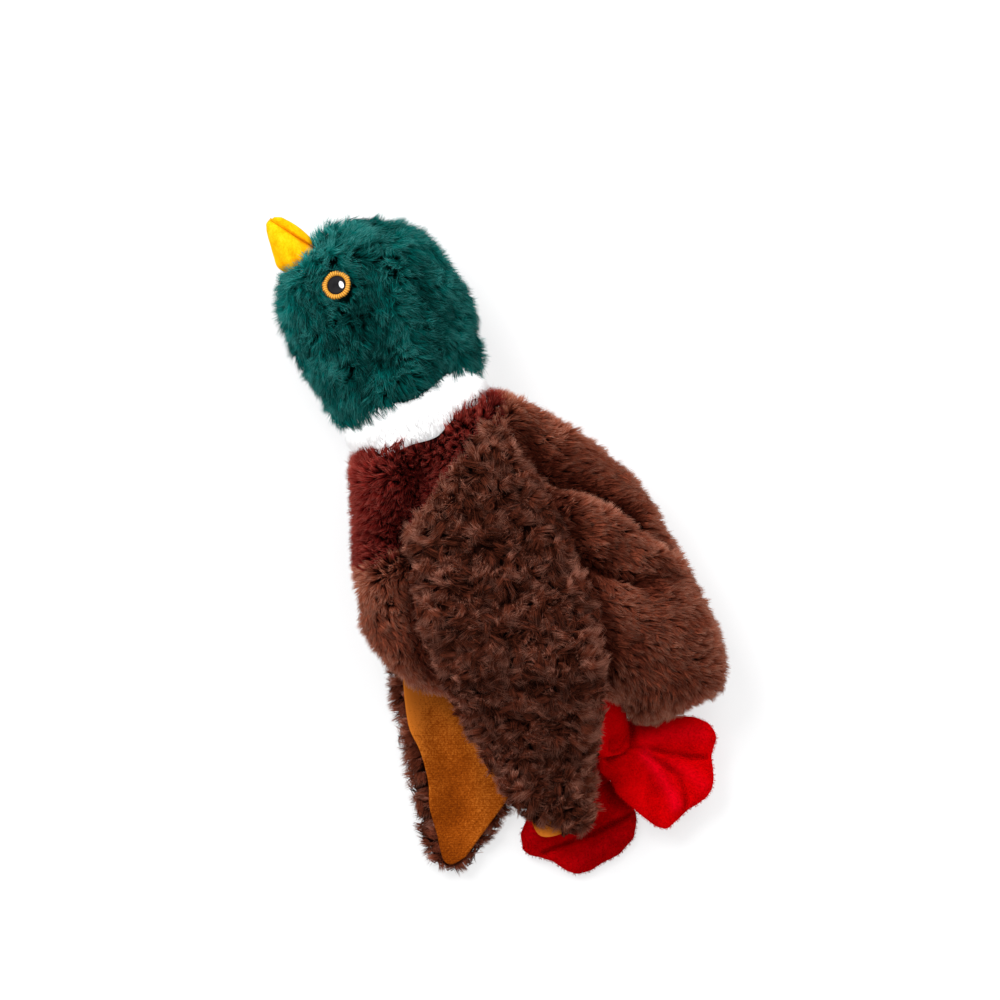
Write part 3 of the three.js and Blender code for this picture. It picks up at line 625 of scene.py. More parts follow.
# painted light: the white pile glows faintly, lifting the shade between its fibres
glowingWhitePile = pileFinish("white plush pile", [(244, 245, 250), (250, 250, 253), white, white],
                       [(250, 250, 254), white, white, white],
                       Emission_Color=(1, 1, 1, 1), Emission_Strength=0.4)
maroonPile = pileFinish("maroon plush pile", [(16, 0, 0), (34, 2, 2), (56, 7, 6), (84, 20, 16)],
                        [(50, 5, 4), (98, 20, 16), (146, 43, 36), (196, 102, 88)])
brownPile = pileFinish("brown plush pile", [(24, 6, 2), (48, 14, 7), (74, 27, 16), (106, 49, 34)],
                       [(68, 22, 11), (116, 51, 33), (163, 88, 64), (228, 164, 138)])
wingPile = pileFinish("dark brown curly pile", [(8, 2, 1), (22, 6, 2), (40, 13, 6), (68, 29, 18)],
                      [(38, 12, 6), (72, 29, 17), (126, 64, 45), (208, 144, 122)])
redNap = pileFinish("red velour nap", [(150, 0, 2), (180, 0, 2), (200, 0, 3), (215, 0, 5)],
                    [(190, 0, 3), (210, 0, 4), (232, 2, 8), (250, 12, 30)])
# painted shade: a darker copy of the red nap for the right foot, which lies in shade
redNapInShade = pileFinish("red velour nap painted in shade", [(110, 0, 2), (132, 0, 2), (150, 0, 3), (164, 2, 6)],
                        [(140, 0, 2), (166, 0, 4), (190, 2, 8), (214, 8, 20)])
# The coloured backings are dark so that gaps in the pile read as shade: painted shade over the fabric's own
# colour
greenBacking = backingFinish("green knitted backing", (0, 30, 29), (0, 44, 42))
whiteBacking = backingFinish("white knitted backing", (244, 245, 250), (252, 252, 255))
maroonBacking = backingFinish("maroon knitted backing", (20, 2, 2), (34, 5, 5))
brownBacking = backingFinish("brown knitted backing", (28, 10, 6), (44, 18, 11))
wingBacking = backingFinish("dark brown knitted backing", (34, 14, 9), (50, 22, 14))
redVelour = velourFinish("red velour", (150, 0, 2), (202, 0, 3), (226, 2, 10), (246, 4, 48))
# painted shade: a darker copy of the red velour for the right foot and leg, which lie in shade
redVelourInShade = velourFinish("red velour painted in shade", (112, 0, 2), (162, 0, 3), (192, 2, 8),
                             (205, 4, 30))
yellowVelour = velourFinish("yellow velour", (236, 146, 4), (247, 177, 10), (252, 198, 26), (255, 206, 50),
                            150.0)
tanLining = liningFinish("tan brushed lining")
orangeThread = threadFinish("orange embroidery thread", (128, 70, 14), (240, 172, 58), 34, 0.8)
blackThread = threadFinish("black embroidery thread", (1, 1, 3), (14, 12, 20), 40)
whiteThread = threadFinish("white embroidery thread", (205, 212, 226), white, 12)
fibrefill = backingFinish("white fibrefill", (214, 212, 206), (240, 238, 232))

# Torso

neckLean = np.radians(22.3)
neckAlong = np.array([np.sin(neckLean), np.cos(neckLean), 0.0])
neckAcross = np.array([np.cos(neckLean), -np.sin(neckLean), 0.0])
neckHeight = 35.0


# Points from their places along the neck and across it, and their heights
def onNeck(along, across, height):
    return along[..., None] * neckAlong + across[..., None] * neckAcross + height[..., None] * up


torso = {
    # distance back from the neck opening, belly edge, back edge, fullness
    "rows": [(-28, -27, 39.6, 0.76), (-14, -31.5, 38, 0.84), (-4, -39.8, 37.2, 0.88), (4, -46.5, 37.5, 0.9),
             (13, -54.5, 38.8, 0.92), (23, -63.5, 40.6, 0.93), (35, -74.5, 43.6, 0.95), (46, -83, 46.2, 0.96),
             (58, -87, 48.9, 0.98), (70, -87.6, 50, 1), (84, -84, 50.3, 1), (98, -75.5, 48.2, 1),
             (112, -66, 44.2, 0.98), (124, -55, 40, 0.96), (136, -36, 36.6, 0.93), (146, -27, 34, 0.88),
             (155, -27, 30.4, 0.81), (163, -28, 27, 0.72), (170, -20.5, 24.6, 0.62), (176, -11, 21.6, 0.5),
             (180.5, -1, 17.5, 0.36), (183, 6, 12, 0.18)],
    "rise": 33.0, "tailSeam": 20.0, "length": 200.0, "power": 2.3, "underPower": 3.6,
    "skinDepth": 6.0, "fillingDepth": 11,  # from the pile's outer face to the skin and to the filling
    # the lift over the far wing: its height, how it fades at the wing's edge, and where it starts in front
    "lift": 10.0, "liftEdge": (-1, 17), "liftFront": (-54, -27),
    "seamGap": 0.2, "seamFade": 9.0, "inner": (-10.0, 33.0),  # how the two skins turn in at the chest seam
    # the edge of the neck opening: place across the neck, place along it
    "lip": [(-44, -14), (-40, -8), (-36.5, -5), (-32, -4), (-20, -5), (-8, -5), (5, -5.5), (13, -1.5),
            (22, 0.5), (30, -0.5), (36, -4.5), (42, -10), (50, -18)],
    # folds: places, depth and width
    "creases": [(spots((530, 472), (552, 483), (574, 488), (601, 502), (624, 516), (646, 533), (668, 556)),
                 7.0, 3.2), (spots((566, 550), (584, 562), (605, 574), (632, 585)), 5.0, 3.2)],
    "folds": [(spots((528, 470), (552, 482), (574, 489), (601, 502), (624, 516), (646, 532)), 4.0, 8.0),
              (spots((566, 548), (582, 561), (605, 573), (631, 584), (646, 584)), 3.5, 8.0),
              (spots((424, 476), (417, 504), (405, 536)), 6.5, 10.0),
              (spots((526, 440), (542, 464)), 3.5, 5.0),
              (spots((524, 414), (560, 441), (606, 476), (645, 516)), -3.0, 7.0),
              (spots((572, 512), (606, 528), (650, 560)), -3.2, 7.0),
              (spots((600, 600), (650, 610), (690, 640)), -2.0, 12.0),
              (spots((368, 470), (370, 520)), -2.0, 7.0)],
}
chestSeam = [(-90, -22), (-69.4, -26), (-58.9, -30.5), (-49.6, -33.6), (-40.1, -32), (-28.6, -29.3),
             (-18.5, -28.6), (-1.6, -30), (9.2, -27), (27, -20.7), (34.7, -15.6), (50, -8)]


def seamHeight(y):
    return neckHeight + (neckHeight - torso["tailSeam"]) * y / torso["length"]


def torsoSides(y):
    return [tableAt(torso["rows"], -y, k) for k in (1, 2, 3)]


# Height of the torso's upper face over a place on the plan, and the seam's height outside it
def torsoTop(x, y):
    left, right, full = torsoSides(y)
    return seamHeight(y) + torso["rise"] * full * ovalHeight(x, left, right, torso["power"])


# The far wing is under the chest and belly, so the torso is lifted there
def torsoUnder(x, y):
    wingEdge = tableAt(farWing["rows"], -y - 27, 2)
    start, end = torso["liftEdge"]
    overWing = 1 - softStep(x, wingEdge + start, wingEdge + end)
    return torso["lift"] * np.maximum(overWing, softStep(y, *torso["liftFront"]))


# How far a place is past the neck opening's edge, along the neck
def pastLip(points):
    return points @ neckAlong - tableAt(torso["lip"], points @ neckAcross, 1)


# Torso: superellipse sections square to the toy's length, with fullness for the height
def torsoSurface(inset, rows=150, count=170):
    backwards = downTable(torso["rows"], rows, 0.3)
    left, right, full = [side[:, None] for side in torsoSides(-backwards)]
    half = np.maximum((right - left) / 2 - inset, 0.8)
    rise = np.maximum(torso["rise"] * full - inset, 0.8)
    c, s = ovalRing(torso["power"], torso["underPower"], count)
    x = (left + right) / 2 + half * c[None]
    y = -backwards[:, None] + (inset * 1.35 * softStep(backwards, 155, 184))[:, None]
    y = np.broadcast_to(y, x.shape)
    seam = seamHeight(y)
    drop = np.maximum((seam - torsoUnder(x, y)) * np.sqrt(full) - inset * 0.75, 0.8)
    z = seam + np.where(s[None] >= 0, rise, drop) * s[None]
    grid = np.stack([x, y, z], -1)
    grid = grid - np.maximum(pastLip(grid) + inset * 0.3, 0)[..., None] * neckAlong
    surface = surfaceOf(grid)
    press = pressed(grid, torso["creases"] + torso["folds"]) * softStep(surface["normals"][..., 2], 0, 0.5)
    press = press + 0.7 * ripple(grid, 46, 5)
    surface["grid"] = grid - surface["normals"] * press[..., None]
    surface["normals"] = gridNormals(surface["grid"], True, fromMiddle)
    return surface


# How far a place is on the chest's side of the seam between chest and body
def chestSide(points):
    return points[..., 1] - tableAt(chestSeam, points[..., 0], 1)


# Wings: places on the plan

wingSeam = {"lean": 8.9, "middle": np.array([-7.3, -27.4, 0.0])}
seamAcross = heading(wingSeam["lean"])
seamReach = heading(wingSeam["lean"] - 90)

nearWing = {
    # distance from the seam, left edge, right edge, all to the outside of the pile
    "rows": [(0, -34.2, 33.3), (11.2, -45.9, 31.5), (22.4, -58.5, 27.9), (35, -69.3, 22.5),
             (49, -77.4, 15.5), (64.4, -86.4, 6.2), (81.2, -94, -4.2), (96.6, -100.9, -18.6),
             (112, -106.6, -41), (121, -107.4, -57), (126, -106.4, -65), (134.4, -102, -76.5),
             (141, -95, -82.5), (143.5, -91, -86)],
    "reach": 143.5, "margin": 7.0, "lining": 1.2, "liningMargin": 7.6,
    "loft": 3.8, "loftRipple": 0.9,     # how high its skin stands over the lining
    "tipAt": 127.0, "tipWide": 9.0,     # where the lining shows: the pile is drawn in, and the lining let out
    "tipPile": 4.0, "tipLining": -7.8,
    "hides": (14, 8, 128),              # where it hides the torso: inside its edges, from and to along it
    # its own height at the belly edge, at the tip, its fall per mm, and where and which way it falls
    "drape": {"height": 60.0, "tip": 13.0, "slope": 0.6, "start": -24.0, "heading": -142.3,
              "edge": (-82.8, -86)},
}
farWing = {
    "rows": [(0, -34.2, 33.3), (10.3, -55.8, 28.8), (20.5, -78.3, 21.6), (33, -96.3, 9),
             (44.5, -107.1, -1.8), (61.6, -122.4, -19.8), (78.7, -137.6, -39.6), (87.8, -145.4, -50.4),
             (96.9, -149.6, -63), (104.9, -143.6, -76.5), (109.6, -131.8, -88.2), (112, -122, -102.6)],
    "reach": 112.0, "margin": 6.8, "height": 9.0,
    "skin": (4.4, 2.0),                 # how far its skin lies under that height, and how thick it is
    "fringeDrop": 1.9, "underDrop": 4.2, "flung": 6.6,  # limits of the pile's height and of its reach
    # the lining's own edges: its seam is turned in well inside the pile
    "liningRows": [(0, -30, 29), (10.3, -49, 24.5), (20.5, -68, 17.5), (33.1, -84.2, 5), (41.6, -94.1, -4),
                   (49.4, -101.8, -13), (59.8, -107.6, -24), (65.8, -112.1, -31), (73, -118.9, -40),
                   (77, -124.3, -46), (83, -129.5, -54), (88, -133.3, -61), (94, -138.6, -70),
                   (98.6, -141.3, -78), (102, -139.8, -89), (104.5, -134, -104)],
    "liningReach": 104.5, "liningRise": 0.2,
    # soft folds of the lining
    "folds": [(spots((430, 700), (441, 747), (452, 781), (455, 811)), 2.4, 6.5),
              (spots((404, 690), (414, 740), (429, 795)), -1.0, 5.0),
              (spots((474, 772), (476, 815)), -1.2, 6.0)],
}


# A wing's grid on the plan: from the seam to the tip, and from edge to edge, drawn in by a margin
def wingPlan(edges, reach, margin, leftMargin=None, rows=90, columns=70):
    far = (reach - margin) * np.linspace(0, 1, rows)[:, None]
    drawn = softStep(far, -6, 12)
    left = tableAt(edges, far, 1) + drawn * (margin if leftMargin is None else leftMargin(far))
    right = tableAt(edges, far, 2) - drawn * margin
    across = (left + right) / 2 + np.maximum((right - left) / 2, 1.0) * np.linspace(-1, 1, columns)[None]
    return wingSeam["middle"] + seamReach * (far + 0 * across)[..., None] + seamAcross * across[..., None]


# Distance and direction on the plan from each point to the nearest place on a wing's outline
def towardEdge(points, wing):
    reach = np.linspace(0, wing["reach"], 90)
    left, right = tableAt(wing["rows"], reach, 1), tableAt(wing["rows"], reach, 2)
    tip = left[-1] + (right[-1] - left[-1]) * np.linspace(0, 1, 20)
    far = np.concatenate([reach, np.full(20, wing["reach"]), reach])
    across = np.concatenate([left, tip, right])
    outline = (wingSeam["middle"] + far[:, None] * seamReach + across[:, None] * seamAcross)[:, :2]
    flat = points.reshape(-1, 3)[:, :2]
    best, nearest = np.full(len(flat), 1e9), np.zeros(len(flat), int)
    for k, place in enumerate(outline):
        gap = np.hypot(*(flat - place).T)
        closer = gap < best
        best, nearest = np.where(closer, gap, best), np.where(closer, k, nearest)
    away = unit(np.concatenate([outline[nearest] - flat, np.zeros((len(flat), 1))], 1))
    return best.reshape(points.shape[:-1]), away.reshape(points.shape)


# The near wing lies over the torso and sags past its belly edge towards the floor
def drapeHeight(points):
    fall = nearWing["drape"]
    outward = (points[..., :2] - np.array(fall["edge"])) @ heading(fall["heading"])[:2]
    sag = np.maximum(fall["height"] - fall["slope"] * np.maximum(outward - fall["start"], 0), fall["tip"])
    over = torsoTop(points[..., 0], points[..., 1]) + 0.6
    blend = np.maximum(8 - np.abs(sag - over), 0) / 8
    return np.maximum(sag, over) + blend * blend * 2


def raised(points, height):
    out = np.array(points)
    out[..., 2] = height
    return out


# Loft of the near wing's skin over its grid, from 0 to 1: full in the middle, none at its edges and its seam
def wingLoft(rows, columns):
    r = np.linspace(0, 1, rows)[:, None]
    c = np.abs(np.linspace(-1, 1, columns))[None]
    return np.sqrt(np.maximum((1 - c ** 4) * (1 - r ** 8), 0)) ** 0.7 * softStep(r, -0.01, 0.07)


# Skins and fillings


def padPiece(name, surface, body, slotName, finish, kind, *nodes):
    piece = place(closedSkin(name, surface), body, slotName, finish, *nodes)
    return piece


# The torso's skin on one side of the chest seam: the rest is drawn in to the seam and towards its middle
def torsoPart(surface, chest):
    sign = 1 if chest else -1
    x, y, z = np.moveaxis(surface["grid"], -1, 0)
    past = np.maximum(torso["seamGap"] - chestSide(surface["grid"]) * sign, 0)
    drawn = np.exp(-past / torso["seamFade"])
    innerX, innerZ = torso["inner"]
    x, z = (x - innerX) * drawn + innerX, (z - innerZ) * drawn + innerZ
    y = np.where(past > 0, tableAt(chestSeam, x, 1) + torso["seamGap"] * sign, y)
    return dict(surface, grid=np.stack([x, y, z], -1))


torsoSkin = torsoSurface(torso["skinDepth"])
padPiece("body_filling_pad", torsoSurface(torso["fillingDepth"], 60, 60), "torso", "fibrefill", fibrefill,
         "stuffed", "body_filling")
skinGrid = torsoSurface(torso["skinDepth"], 96, 120)
padPiece("chest_skin", torsoPart(skinGrid, True), "torso", "maroon_pile", maroonBacking, "stuffed",
         "chest_left_panel", "chest_right_panel")
padPiece("body_skin", torsoPart(skinGrid, False), "torso", "brown_pile", brownBacking, "stuffed",
         "body_left_panel", "body_right_panel")
print("stage: torso skins")

# Body and chest pile

plushPile = {
    "seed": 10, "perSquare": 2.6,       # fibres per square millimetre
    "length": 9.0, "lengthRoom": 0.2, "width": 0.54,
    "lean": 0.5, "leanRoom": 0.1, "patch": 26.0, "stray": 0.08,
    "tuftSize": 3.0, "tuftStray": 0.2, "tuftRoom": 0.15,
    "spread": 0.3, "draw": 0.5,         # how close the tips in a tuft come together, and how much of the way
    "curl": 0, "bend": 0.04,
    # how much the shade varies at random by fibre, tuft, patch and lock, and the painted light on the top and
    # on the sides of the toy
    "fibreShade": 0.3, "tuftShade": 0.2, "patchShade": 0.1, "lockShade": 0.14, "paintedTopLight": 0, "paintedEdgeLight": 0,
    # painted shade: a tuft is paler in its middle than at its rim, so the gaps between tufts look shaded
    "paintedTuftRimShade": 0,                    # how much lighter the middle of a tuft is than its rim
}
# painted light and shade: the body is darker on top, both piles are lighter at the sides, and both are shaded
# at the rim of each tuft
bodyPile = dict(plushPile, seed=11, perSquare=3.2, length=7.6, lengthRoom=0.27, width=0.48, lean=0.55,
                leanRoom=0.16, stray=0.1, tuftSize=2.8, tuftStray=0.34, tuftRoom=0.3, draw=0.52,
                paintedTopLight=-0.1, paintedEdgeLight=0.7, paintedTuftRimShade=0.18, patchShade=0.12)
chestPile = dict(plushPile, seed=12, perSquare=3.8, length=7.4, lengthRoom=0.3, width=0.46, lean=0.24,
                 stray=0.12, tuftSize=2.5, tuftStray=0.36, tuftRoom=0.32, paintedEdgeLight=0.2, paintedTuftRimShade=0.2,
                 fibreShade=0.36)


# How deep in a fold a place of the torso's upper side is, from 0 to 1: it shortens the pile there and paints
# shade, and paints light on ridges below 0. Beside the edge of the wing and the left leg the pile is pressed
# down and painted with shade too
def foldDepthAndShade(points):
    sharp = pressed(points, [(line, 1.0, wide) for line, _, wide in torso["creases"]])
    hollow = pressed(points, torso["folds"]) / 8
    # painted shadow beside the wing's edge and beside the left leg, where the pile is also made shorter
    wingPressAndShadow = 0.75 * softStep(towardEdge(points, nearWing)[0], 8, 2)
    legPressAndShadow = 0.6 * softStep(lineGap(points, spots((628, 704), (652, 724))), 10, 2)
    return ((sharp + hollow + wingPressAndShadow) * (points[:, 2] > neckHeight) + legPressAndShadow).clip(-0.3, 1.2)


# Body pile is brushed from the neck to the tail, fanning out a little to both edges
def bodyComb(points, normals):
    left, right, _ = torsoSides(points[:, 1])
    across = (points[:, 0] - (left + right) / 2) / np.maximum((right - left) / 2, 1)
    swing = 0.4 * ripple(points, 44, 21)
    sideways = 0.25 + 0.6 * across + swing
    flow = unit(np.stack([sideways, np.full(len(points), -1.0), np.zeros(len(points))], -1))
    atSeam = softStep(chestSide(points), -11, -2)[:, None]
    flow = flow * (0.55 + 0.45 * np.abs(normals[:, 2:])) * (1 - atSeam) + np.array([0.1, 0.45, 0.0]) * atSeam
    return flow + 0.9 * awayFrom(points, torso["creases"], 5.0) * (points[:, 2:] > neckHeight)


# Chest pile is brushed towards the breast, and up over the collar at the neck opening
def chestComb(points, normals):
    neckward = softStep(pastLip(points), -14, -2)[:, None]
    flow = np.array([-0.75, 0.1, 0.0]) * (1 - neckward) + neckAlong * neckward * 1.7
    atSeam = softStep(chestSide(points), 8, 1)[:, None]
    flow = flow * (1 - atSeam) + np.array([-0.1, -0.5, 0.0]) * atSeam
    return flow + 0.3 * ripple(points, 40, 23)[:, None] * neckAcross


# Fewer fibres where the wing, the collar and the floor hide them
def torsoWeight(points, normals):
    shown = np.where(normals[..., 2] > -0.3, 1.0, 0.5)
    rel = points - wingSeam["middle"]
    reach, across = rel @ seamReach, rel @ seamAcross
    inside, start, end = nearWing["hides"]
    left, right = [tableAt(nearWing["rows"], reach, k) for k in (1, 2)]
    hidden = (reach > start) & (reach < end) & (across > left + inside) & (across < right - inside)
    hidden = hidden & (normals[..., 2] > 0)
    inCollar = (pastLip(points) > -3) & (np.hypot(points @ neckAcross, points[..., 2] - neckHeight) < 25)
    return np.where(hidden, 0.25, shown) * ~inCollar


# Height of what lies under the torso, for the fibres low down on it
def underTorso(points):
    return np.where(points[:, 2] < 20, torsoUnder(points[:, 0], points[:, 1]) - 1.0, 0.0).clip(0.0)


torsoPiles = [("body_pile", bodyPile, bodyComb, -1, "brown_pile", brownPile),
              ("chest_pile", chestPile, chestComb, 1, "maroon_pile", maroonPile)]
for name, pile, comb, side, slotName, finish in torsoPiles:
    fibres = growPile(torsoSkin, pile, comb,
                      lambda p, n: torsoWeight(p, n) * (chestSide(p) * side > -0.6), foldDepthAndShade)
    placePile(name, rested(fibres, underTorso), "torso", slotName, finish)

# Neck and collar

collar = {
    # distance along the neck, half width, half thickness
    "rows": [(-18, 19, 15), (-12, 24, 18.5), (-6, 28, 22), (0, 31.5, 25.5), (6, 33.5, 28), (12, 32, 27),
             (19, 29, 25)],
    "skinDepth": 3.6, "fillingDepth": 8.0,
    "pileFrom": -2.5, "pileTo": 17,     # its pile starts past the neck opening, and ends along the neck
}


# Collar: superellipse rings along the neck
def collarSurface(inset, rows=50, count=110):
    along = np.linspace(collar["rows"][0][0], collar["rows"][-1][0], rows)[:, None]
    wide, tall = [tableAt(collar["rows"], along, k) - inset for k in (1, 2)]
    c, s = ovalRing(2.4, 2.4, count)
    return surfaceOf(onNeck(along, wide * c, neckHeight + tall * s))


collarPile = dict(plushPile, seed=13, perSquare=4.6, length=6.4, lean=0.66, tuftSize=2.0, draw=0.2,
                  fibreShade=0.1)
collarSkin = collarSurface(collar["skinDepth"])
padPiece("collar_skin", collarSkin, "neck", "white_pile", whiteBacking, "stuffed",
         "collar_left_panel", "collar_right_panel")
padPiece("neck_filling_pad", collarSurface(collar["fillingDepth"], 20, 40), "neck", "fibrefill", fibrefill,
         "stuffed", "neck_filling")


def collarComb(points, normals):
    return -neckAlong + 0.25 * ripple(points, 20, 25)[:, None] * neckAcross


def collarWeight(points, normals):
    return 1.0 * (pastLip(points) > collar["pileFrom"]) * (points @ neckAlong < collar["pileTo"])


def onFloor(points):
    return np.zeros(len(points))


# The collar's pile is shorter towards the neck opening, and painted with shade there
collarFibres = growPile(collarSkin, collarPile, collarComb, collarWeight,
                        lambda p: softStep(pastLip(p), 6, -1))  # shorter towards the neck opening
placePile("collar_pile", rested(collarFibres, onFloor), "neck", "white_pile", glowingWhitePile)

# Head

head = {
    # distance along the neck, belly edge, back edge, half thickness
    "rows": [(9, -33.2, 31.4, 29.6), (14, -33.6, 33.4, 31.0), (20, -35.0, 36.0, 32.6),
             (26, -36.4, 38.4, 33.8), (32, -38.6, 40.4, 34.8), (38, -40.4, 42.0, 35.3),
             (44, -41.6, 42.8, 35.5), (50, -42.3, 42.8, 35.5), (56, -42.6, 41.9, 35.2),
             (62, -42.8, 40.6, 34.6), (68, -42.3, 38.7, 33.6), (74, -40.2, 36.5, 32.0),
             (80, -36.3, 33.6, 29.4), (86, -30.6, 29.8, 26.2), (91, -24.8, 25.2, 22.4),
             (96, -19.4, 19.6, 17.4), (100.5, -14.5, 13.3, 11.4), (103.4, -9.5, 6.6, 5.4)],
    "power": 2.2, "skinDepth": 8.6, "hemDepth": 5.0, "fillingDepth": 12.0,
    "brushedFrom": (97, -26),           # places along and across the neck where the beak starts
    # where the pile starts, over the collar: place across, place along
    "hem": [(-40, 15.5), (-10, 16), (6, 18.5), (18, 20.5), (25, 18.5), (33, 14), (40, 14)],
    # hollows in the head, also painted with shade, and ridges below 0 painted lighter: places, depth and
    # width
    "folds": [(spots((354, 306), (366, 332), (382, 356)), 2.4, 6.0),
              (spots((366, 236), (384, 246)), 2.2, 4.5),
              (spots((404, 300), (402, 340)), -1.2, 7.0), (spots((340, 330), (352, 372)), -1.0, 6.0)],
}


# Head: superellipse rings along the neck from a table of both edges and the half thickness
def headSurface(inset, rows=120, count=150):
    along = downTable(head["rows"], rows, 0.35)[:, None]
    left, right, rise = [tableAt(head["rows"], along, k) for k in (1, 2, 3)]
    depth = inset - (head["skinDepth"] - head["hemDepth"]) * softStep(along, 32, 14)
    half, rise = np.maximum((right - left) / 2 - depth, 0.8), np.maximum(rise - depth, 0.8)
    c, s = ovalRing(head["power"], head["power"], count)
    drawn = along - inset * 0.95 * softStep(along, 74, 100)
    grid = onNeck(drawn, (left + right) / 2 + half * c[None], neckHeight + rise * s[None])
    surface = surfaceOf(grid)
    press = pressed(grid, head["folds"]) * softStep(surface["normals"][..., 2], 0, 0.5)
    surface["grid"] = grid + surface["normals"] * (0.9 * ripple(grid, 34, 31) - press)[..., None]
    return surface


# Height of the head's outer face over the neck's mid-plane, at a place along and across the neck
def headRise(along, across):
    left, right, rise = [tableAt(head["rows"], along, k) for k in (1, 2, 3)]
    return rise * ovalHeight(across, left, right, head["power"])


eye = {
    "along": 73.4, "across": -11.4, "radius": 6.5, "pupil": 4.3, "height": 1.7,
    "shine": (-1.0, -2.2), "shineStretch": 1.65,
    "sink": 2.2,                        # how deep in the pile it lies
    "bald": 0.6, "clear": 0.5,          # how far inside the rim the pile stops, and outside it is pushed
    "stitches": 34, "teeth": 0.32,      # stitches round the ring, and how unevenly they end
}


# The eye's own frame on the head: its middle, its outward direction and two directions across it
def eyeFrame(side):
    step = eye["radius"]
    rise = lambda a, b: float(headRise(eye["along"] + a, eye["across"] + b))
    slopeAlong = (rise(step, 0) - rise(-step, 0)) / (2 * step)
    slopeAcross = (rise(0, step) - rise(0, -step)) / (2 * step)
    out = unit(up * side - neckAlong * slopeAlong - neckAcross * slopeAcross)
    middle = neckAlong * eye["along"] + neckAcross * eye["across"] + up * (neckHeight + side * rise(0, 0))
    first = unit(np.cross(out, neckAcross)) * side
    return middle - out * eye["sink"], out, first, np.cross(out, first)


headSkin = headSurface(head["skinDepth"])
padPiece("head_skin", headSurface(head["skinDepth"], 90, 110), "head", "green_pile", greenBacking,
         "stuffed", "head_left_panel", "head_right_panel")
padPiece("head_filling_pad", headSurface(head["fillingDepth"], 40, 50), "head", "fibrefill", fibrefill,
         "stuffed", "head_filling")
# painted light and shade: the head is darker on top, lighter at the sides, and shaded at the rim of each tuft
headPile = dict(plushPile, seed=14, perSquare=4.2, length=10.4, width=0.44, lean=0.42, leanRoom=0.18,
                patch=17.0, stray=0.13, tuftStray=0.42, draw=0.46, bend=0.1, patchShade=0.16, paintedTopLight=-0.2,
                paintedEdgeLight=0.16, paintedTuftRimShade=0.2, tuftShade=0.16, fibreShade=0.4)


# Head pile is brushed back from the beak to the neck, and lies down over the collar
def headComb(points, normals):
    along, across = head["brushedFrom"]
    beakRoot = neckAlong * along + neckAcross * across + up * neckHeight
    swing = 0.9 * ripple(points, 26, 33)[:, None] * neckAcross
    flow = unit(unit(points - beakRoot) * 0.9 - neckAlong * 0.8 + swing)
    return flow * (1 + 0.7 * softStep(points @ neckAlong, 26, 14))[:, None]


# No fibres inside the head's open end, and fewer underneath
def headWeight(points, normals):
    pastHem = points @ neckAlong > tableAt(head["hem"], points @ neckAcross, 1)
    return np.where(normals[..., 2] > -0.3, 1.0, 0.6) * pastHem * (normals @ neckAlong > -0.9)


# Fibres rooted under an eye are taken away, and the tips of those round it are pushed aside
def offEyes(fibres):
    for side in (1, -1):
        middle, out, first, second = eyeFrame(side)
        rel = fibres["root"] - middle
        under = (np.hypot(rel @ first, rel @ second) < eye["radius"] - eye["bald"]) & (rel @ out > -14)
        fibres = keep(fibres, ~under)
        for key in ("middle", "tip"):  # pushed straight away from the eye's middle
            rel = fibres[key] - middle
            flat = np.stack([rel @ first, rel @ second], -1)
            away = np.maximum(np.linalg.norm(flat, axis=-1), 0.01)
            room = np.maximum(eye["radius"] + eye["clear"] - away, 0)
            push = np.where(rel @ out > -2.5, room, 0) / away
            fibres[key] = fibres[key] + (flat[:, :1] * first + flat[:, 1:] * second) * push[:, None]
    return fibres


# How deep in a hollow a place of the head's upper side is: it shortens the pile there and paints shade, and
# paints light on ridges
def hollowDepthAndShade(points):
    return (pressed(points, head["folds"]) / 6 * (points[:, 2] > neckHeight)).clip(-0.3, 1)


headFibres = rested(growPile(headSkin, headPile, headComb, headWeight, hollowDepthAndShade), onFloor)
placePile("head_pile", offEyes(headFibres), "head", "green_pile", greenPile)


# Turns a profile of (radius, height) round the eye's own axis
def turned(profile, frameOfEye, shift, stretch, teeth, count=136):
    middle, out, first, second = frameOfEye
    profile = np.array(profile, float)
    angle = np.linspace(0, 2 * np.pi, count, endpoint=False)
    radius, height = profile[:, :1], profile[:, 1:]
    waves = [(0.6, eye["stitches"], 0), (0.3, 13, 1), (0.4, 5, 2)]  # height, turns and start of each
    uneven = sum(high * np.sin(turns * angle + start) for high, turns, start in waves)
    radius = radius + teeth * uneven * (radius > (profile[:, 0].min() + profile[:, 0].max()) / 2)
    return (middle + (radius * np.cos(angle) * stretch + shift[0])[..., None] * first
            + (radius * np.sin(angle) + shift[1])[..., None] * second + (height + 0 * angle)[..., None] * out)


# The stitch map holds the turn round the eye and the place along the profile
def stitchMap(piece, rows, count):
    mesh = piece.data
    index, starts = np.empty(len(mesh.loops), np.int32), np.empty(len(mesh.polygons), np.int32)
    mesh.loops.foreach_get("vertex_index", index)
    mesh.polygons.foreach_get("loop_start", starts)
    row, column = np.minimum(index // count, rows - 1), index % count
    values = np.stack([column / count, row / (rows - 1)], -1)
    values[index >= rows * count, 0] = 0.5
    owner = np.searchsorted(starts, np.arange(len(index)), side="right") - 1
    high = np.zeros(len(starts))
    np.maximum.at(high, owner, values[:, 0])
    values[:, 0] += (values[:, 0] == 0) * (high[owner] > 0.7)
    setMap(piece, "stitch", values)


def eyePiece(name, profile, side, shift, stretch, slotName, finish, node, teeth=0.0):
    grid = turned(profile, eyeFrame(side), shift, stretch, teeth)
    piece = closedSkin(name, surfaceOf(grid))
    stitchMap(piece, *grid.shape[:2])
    return place(piece, "head", slotName, finish, node)


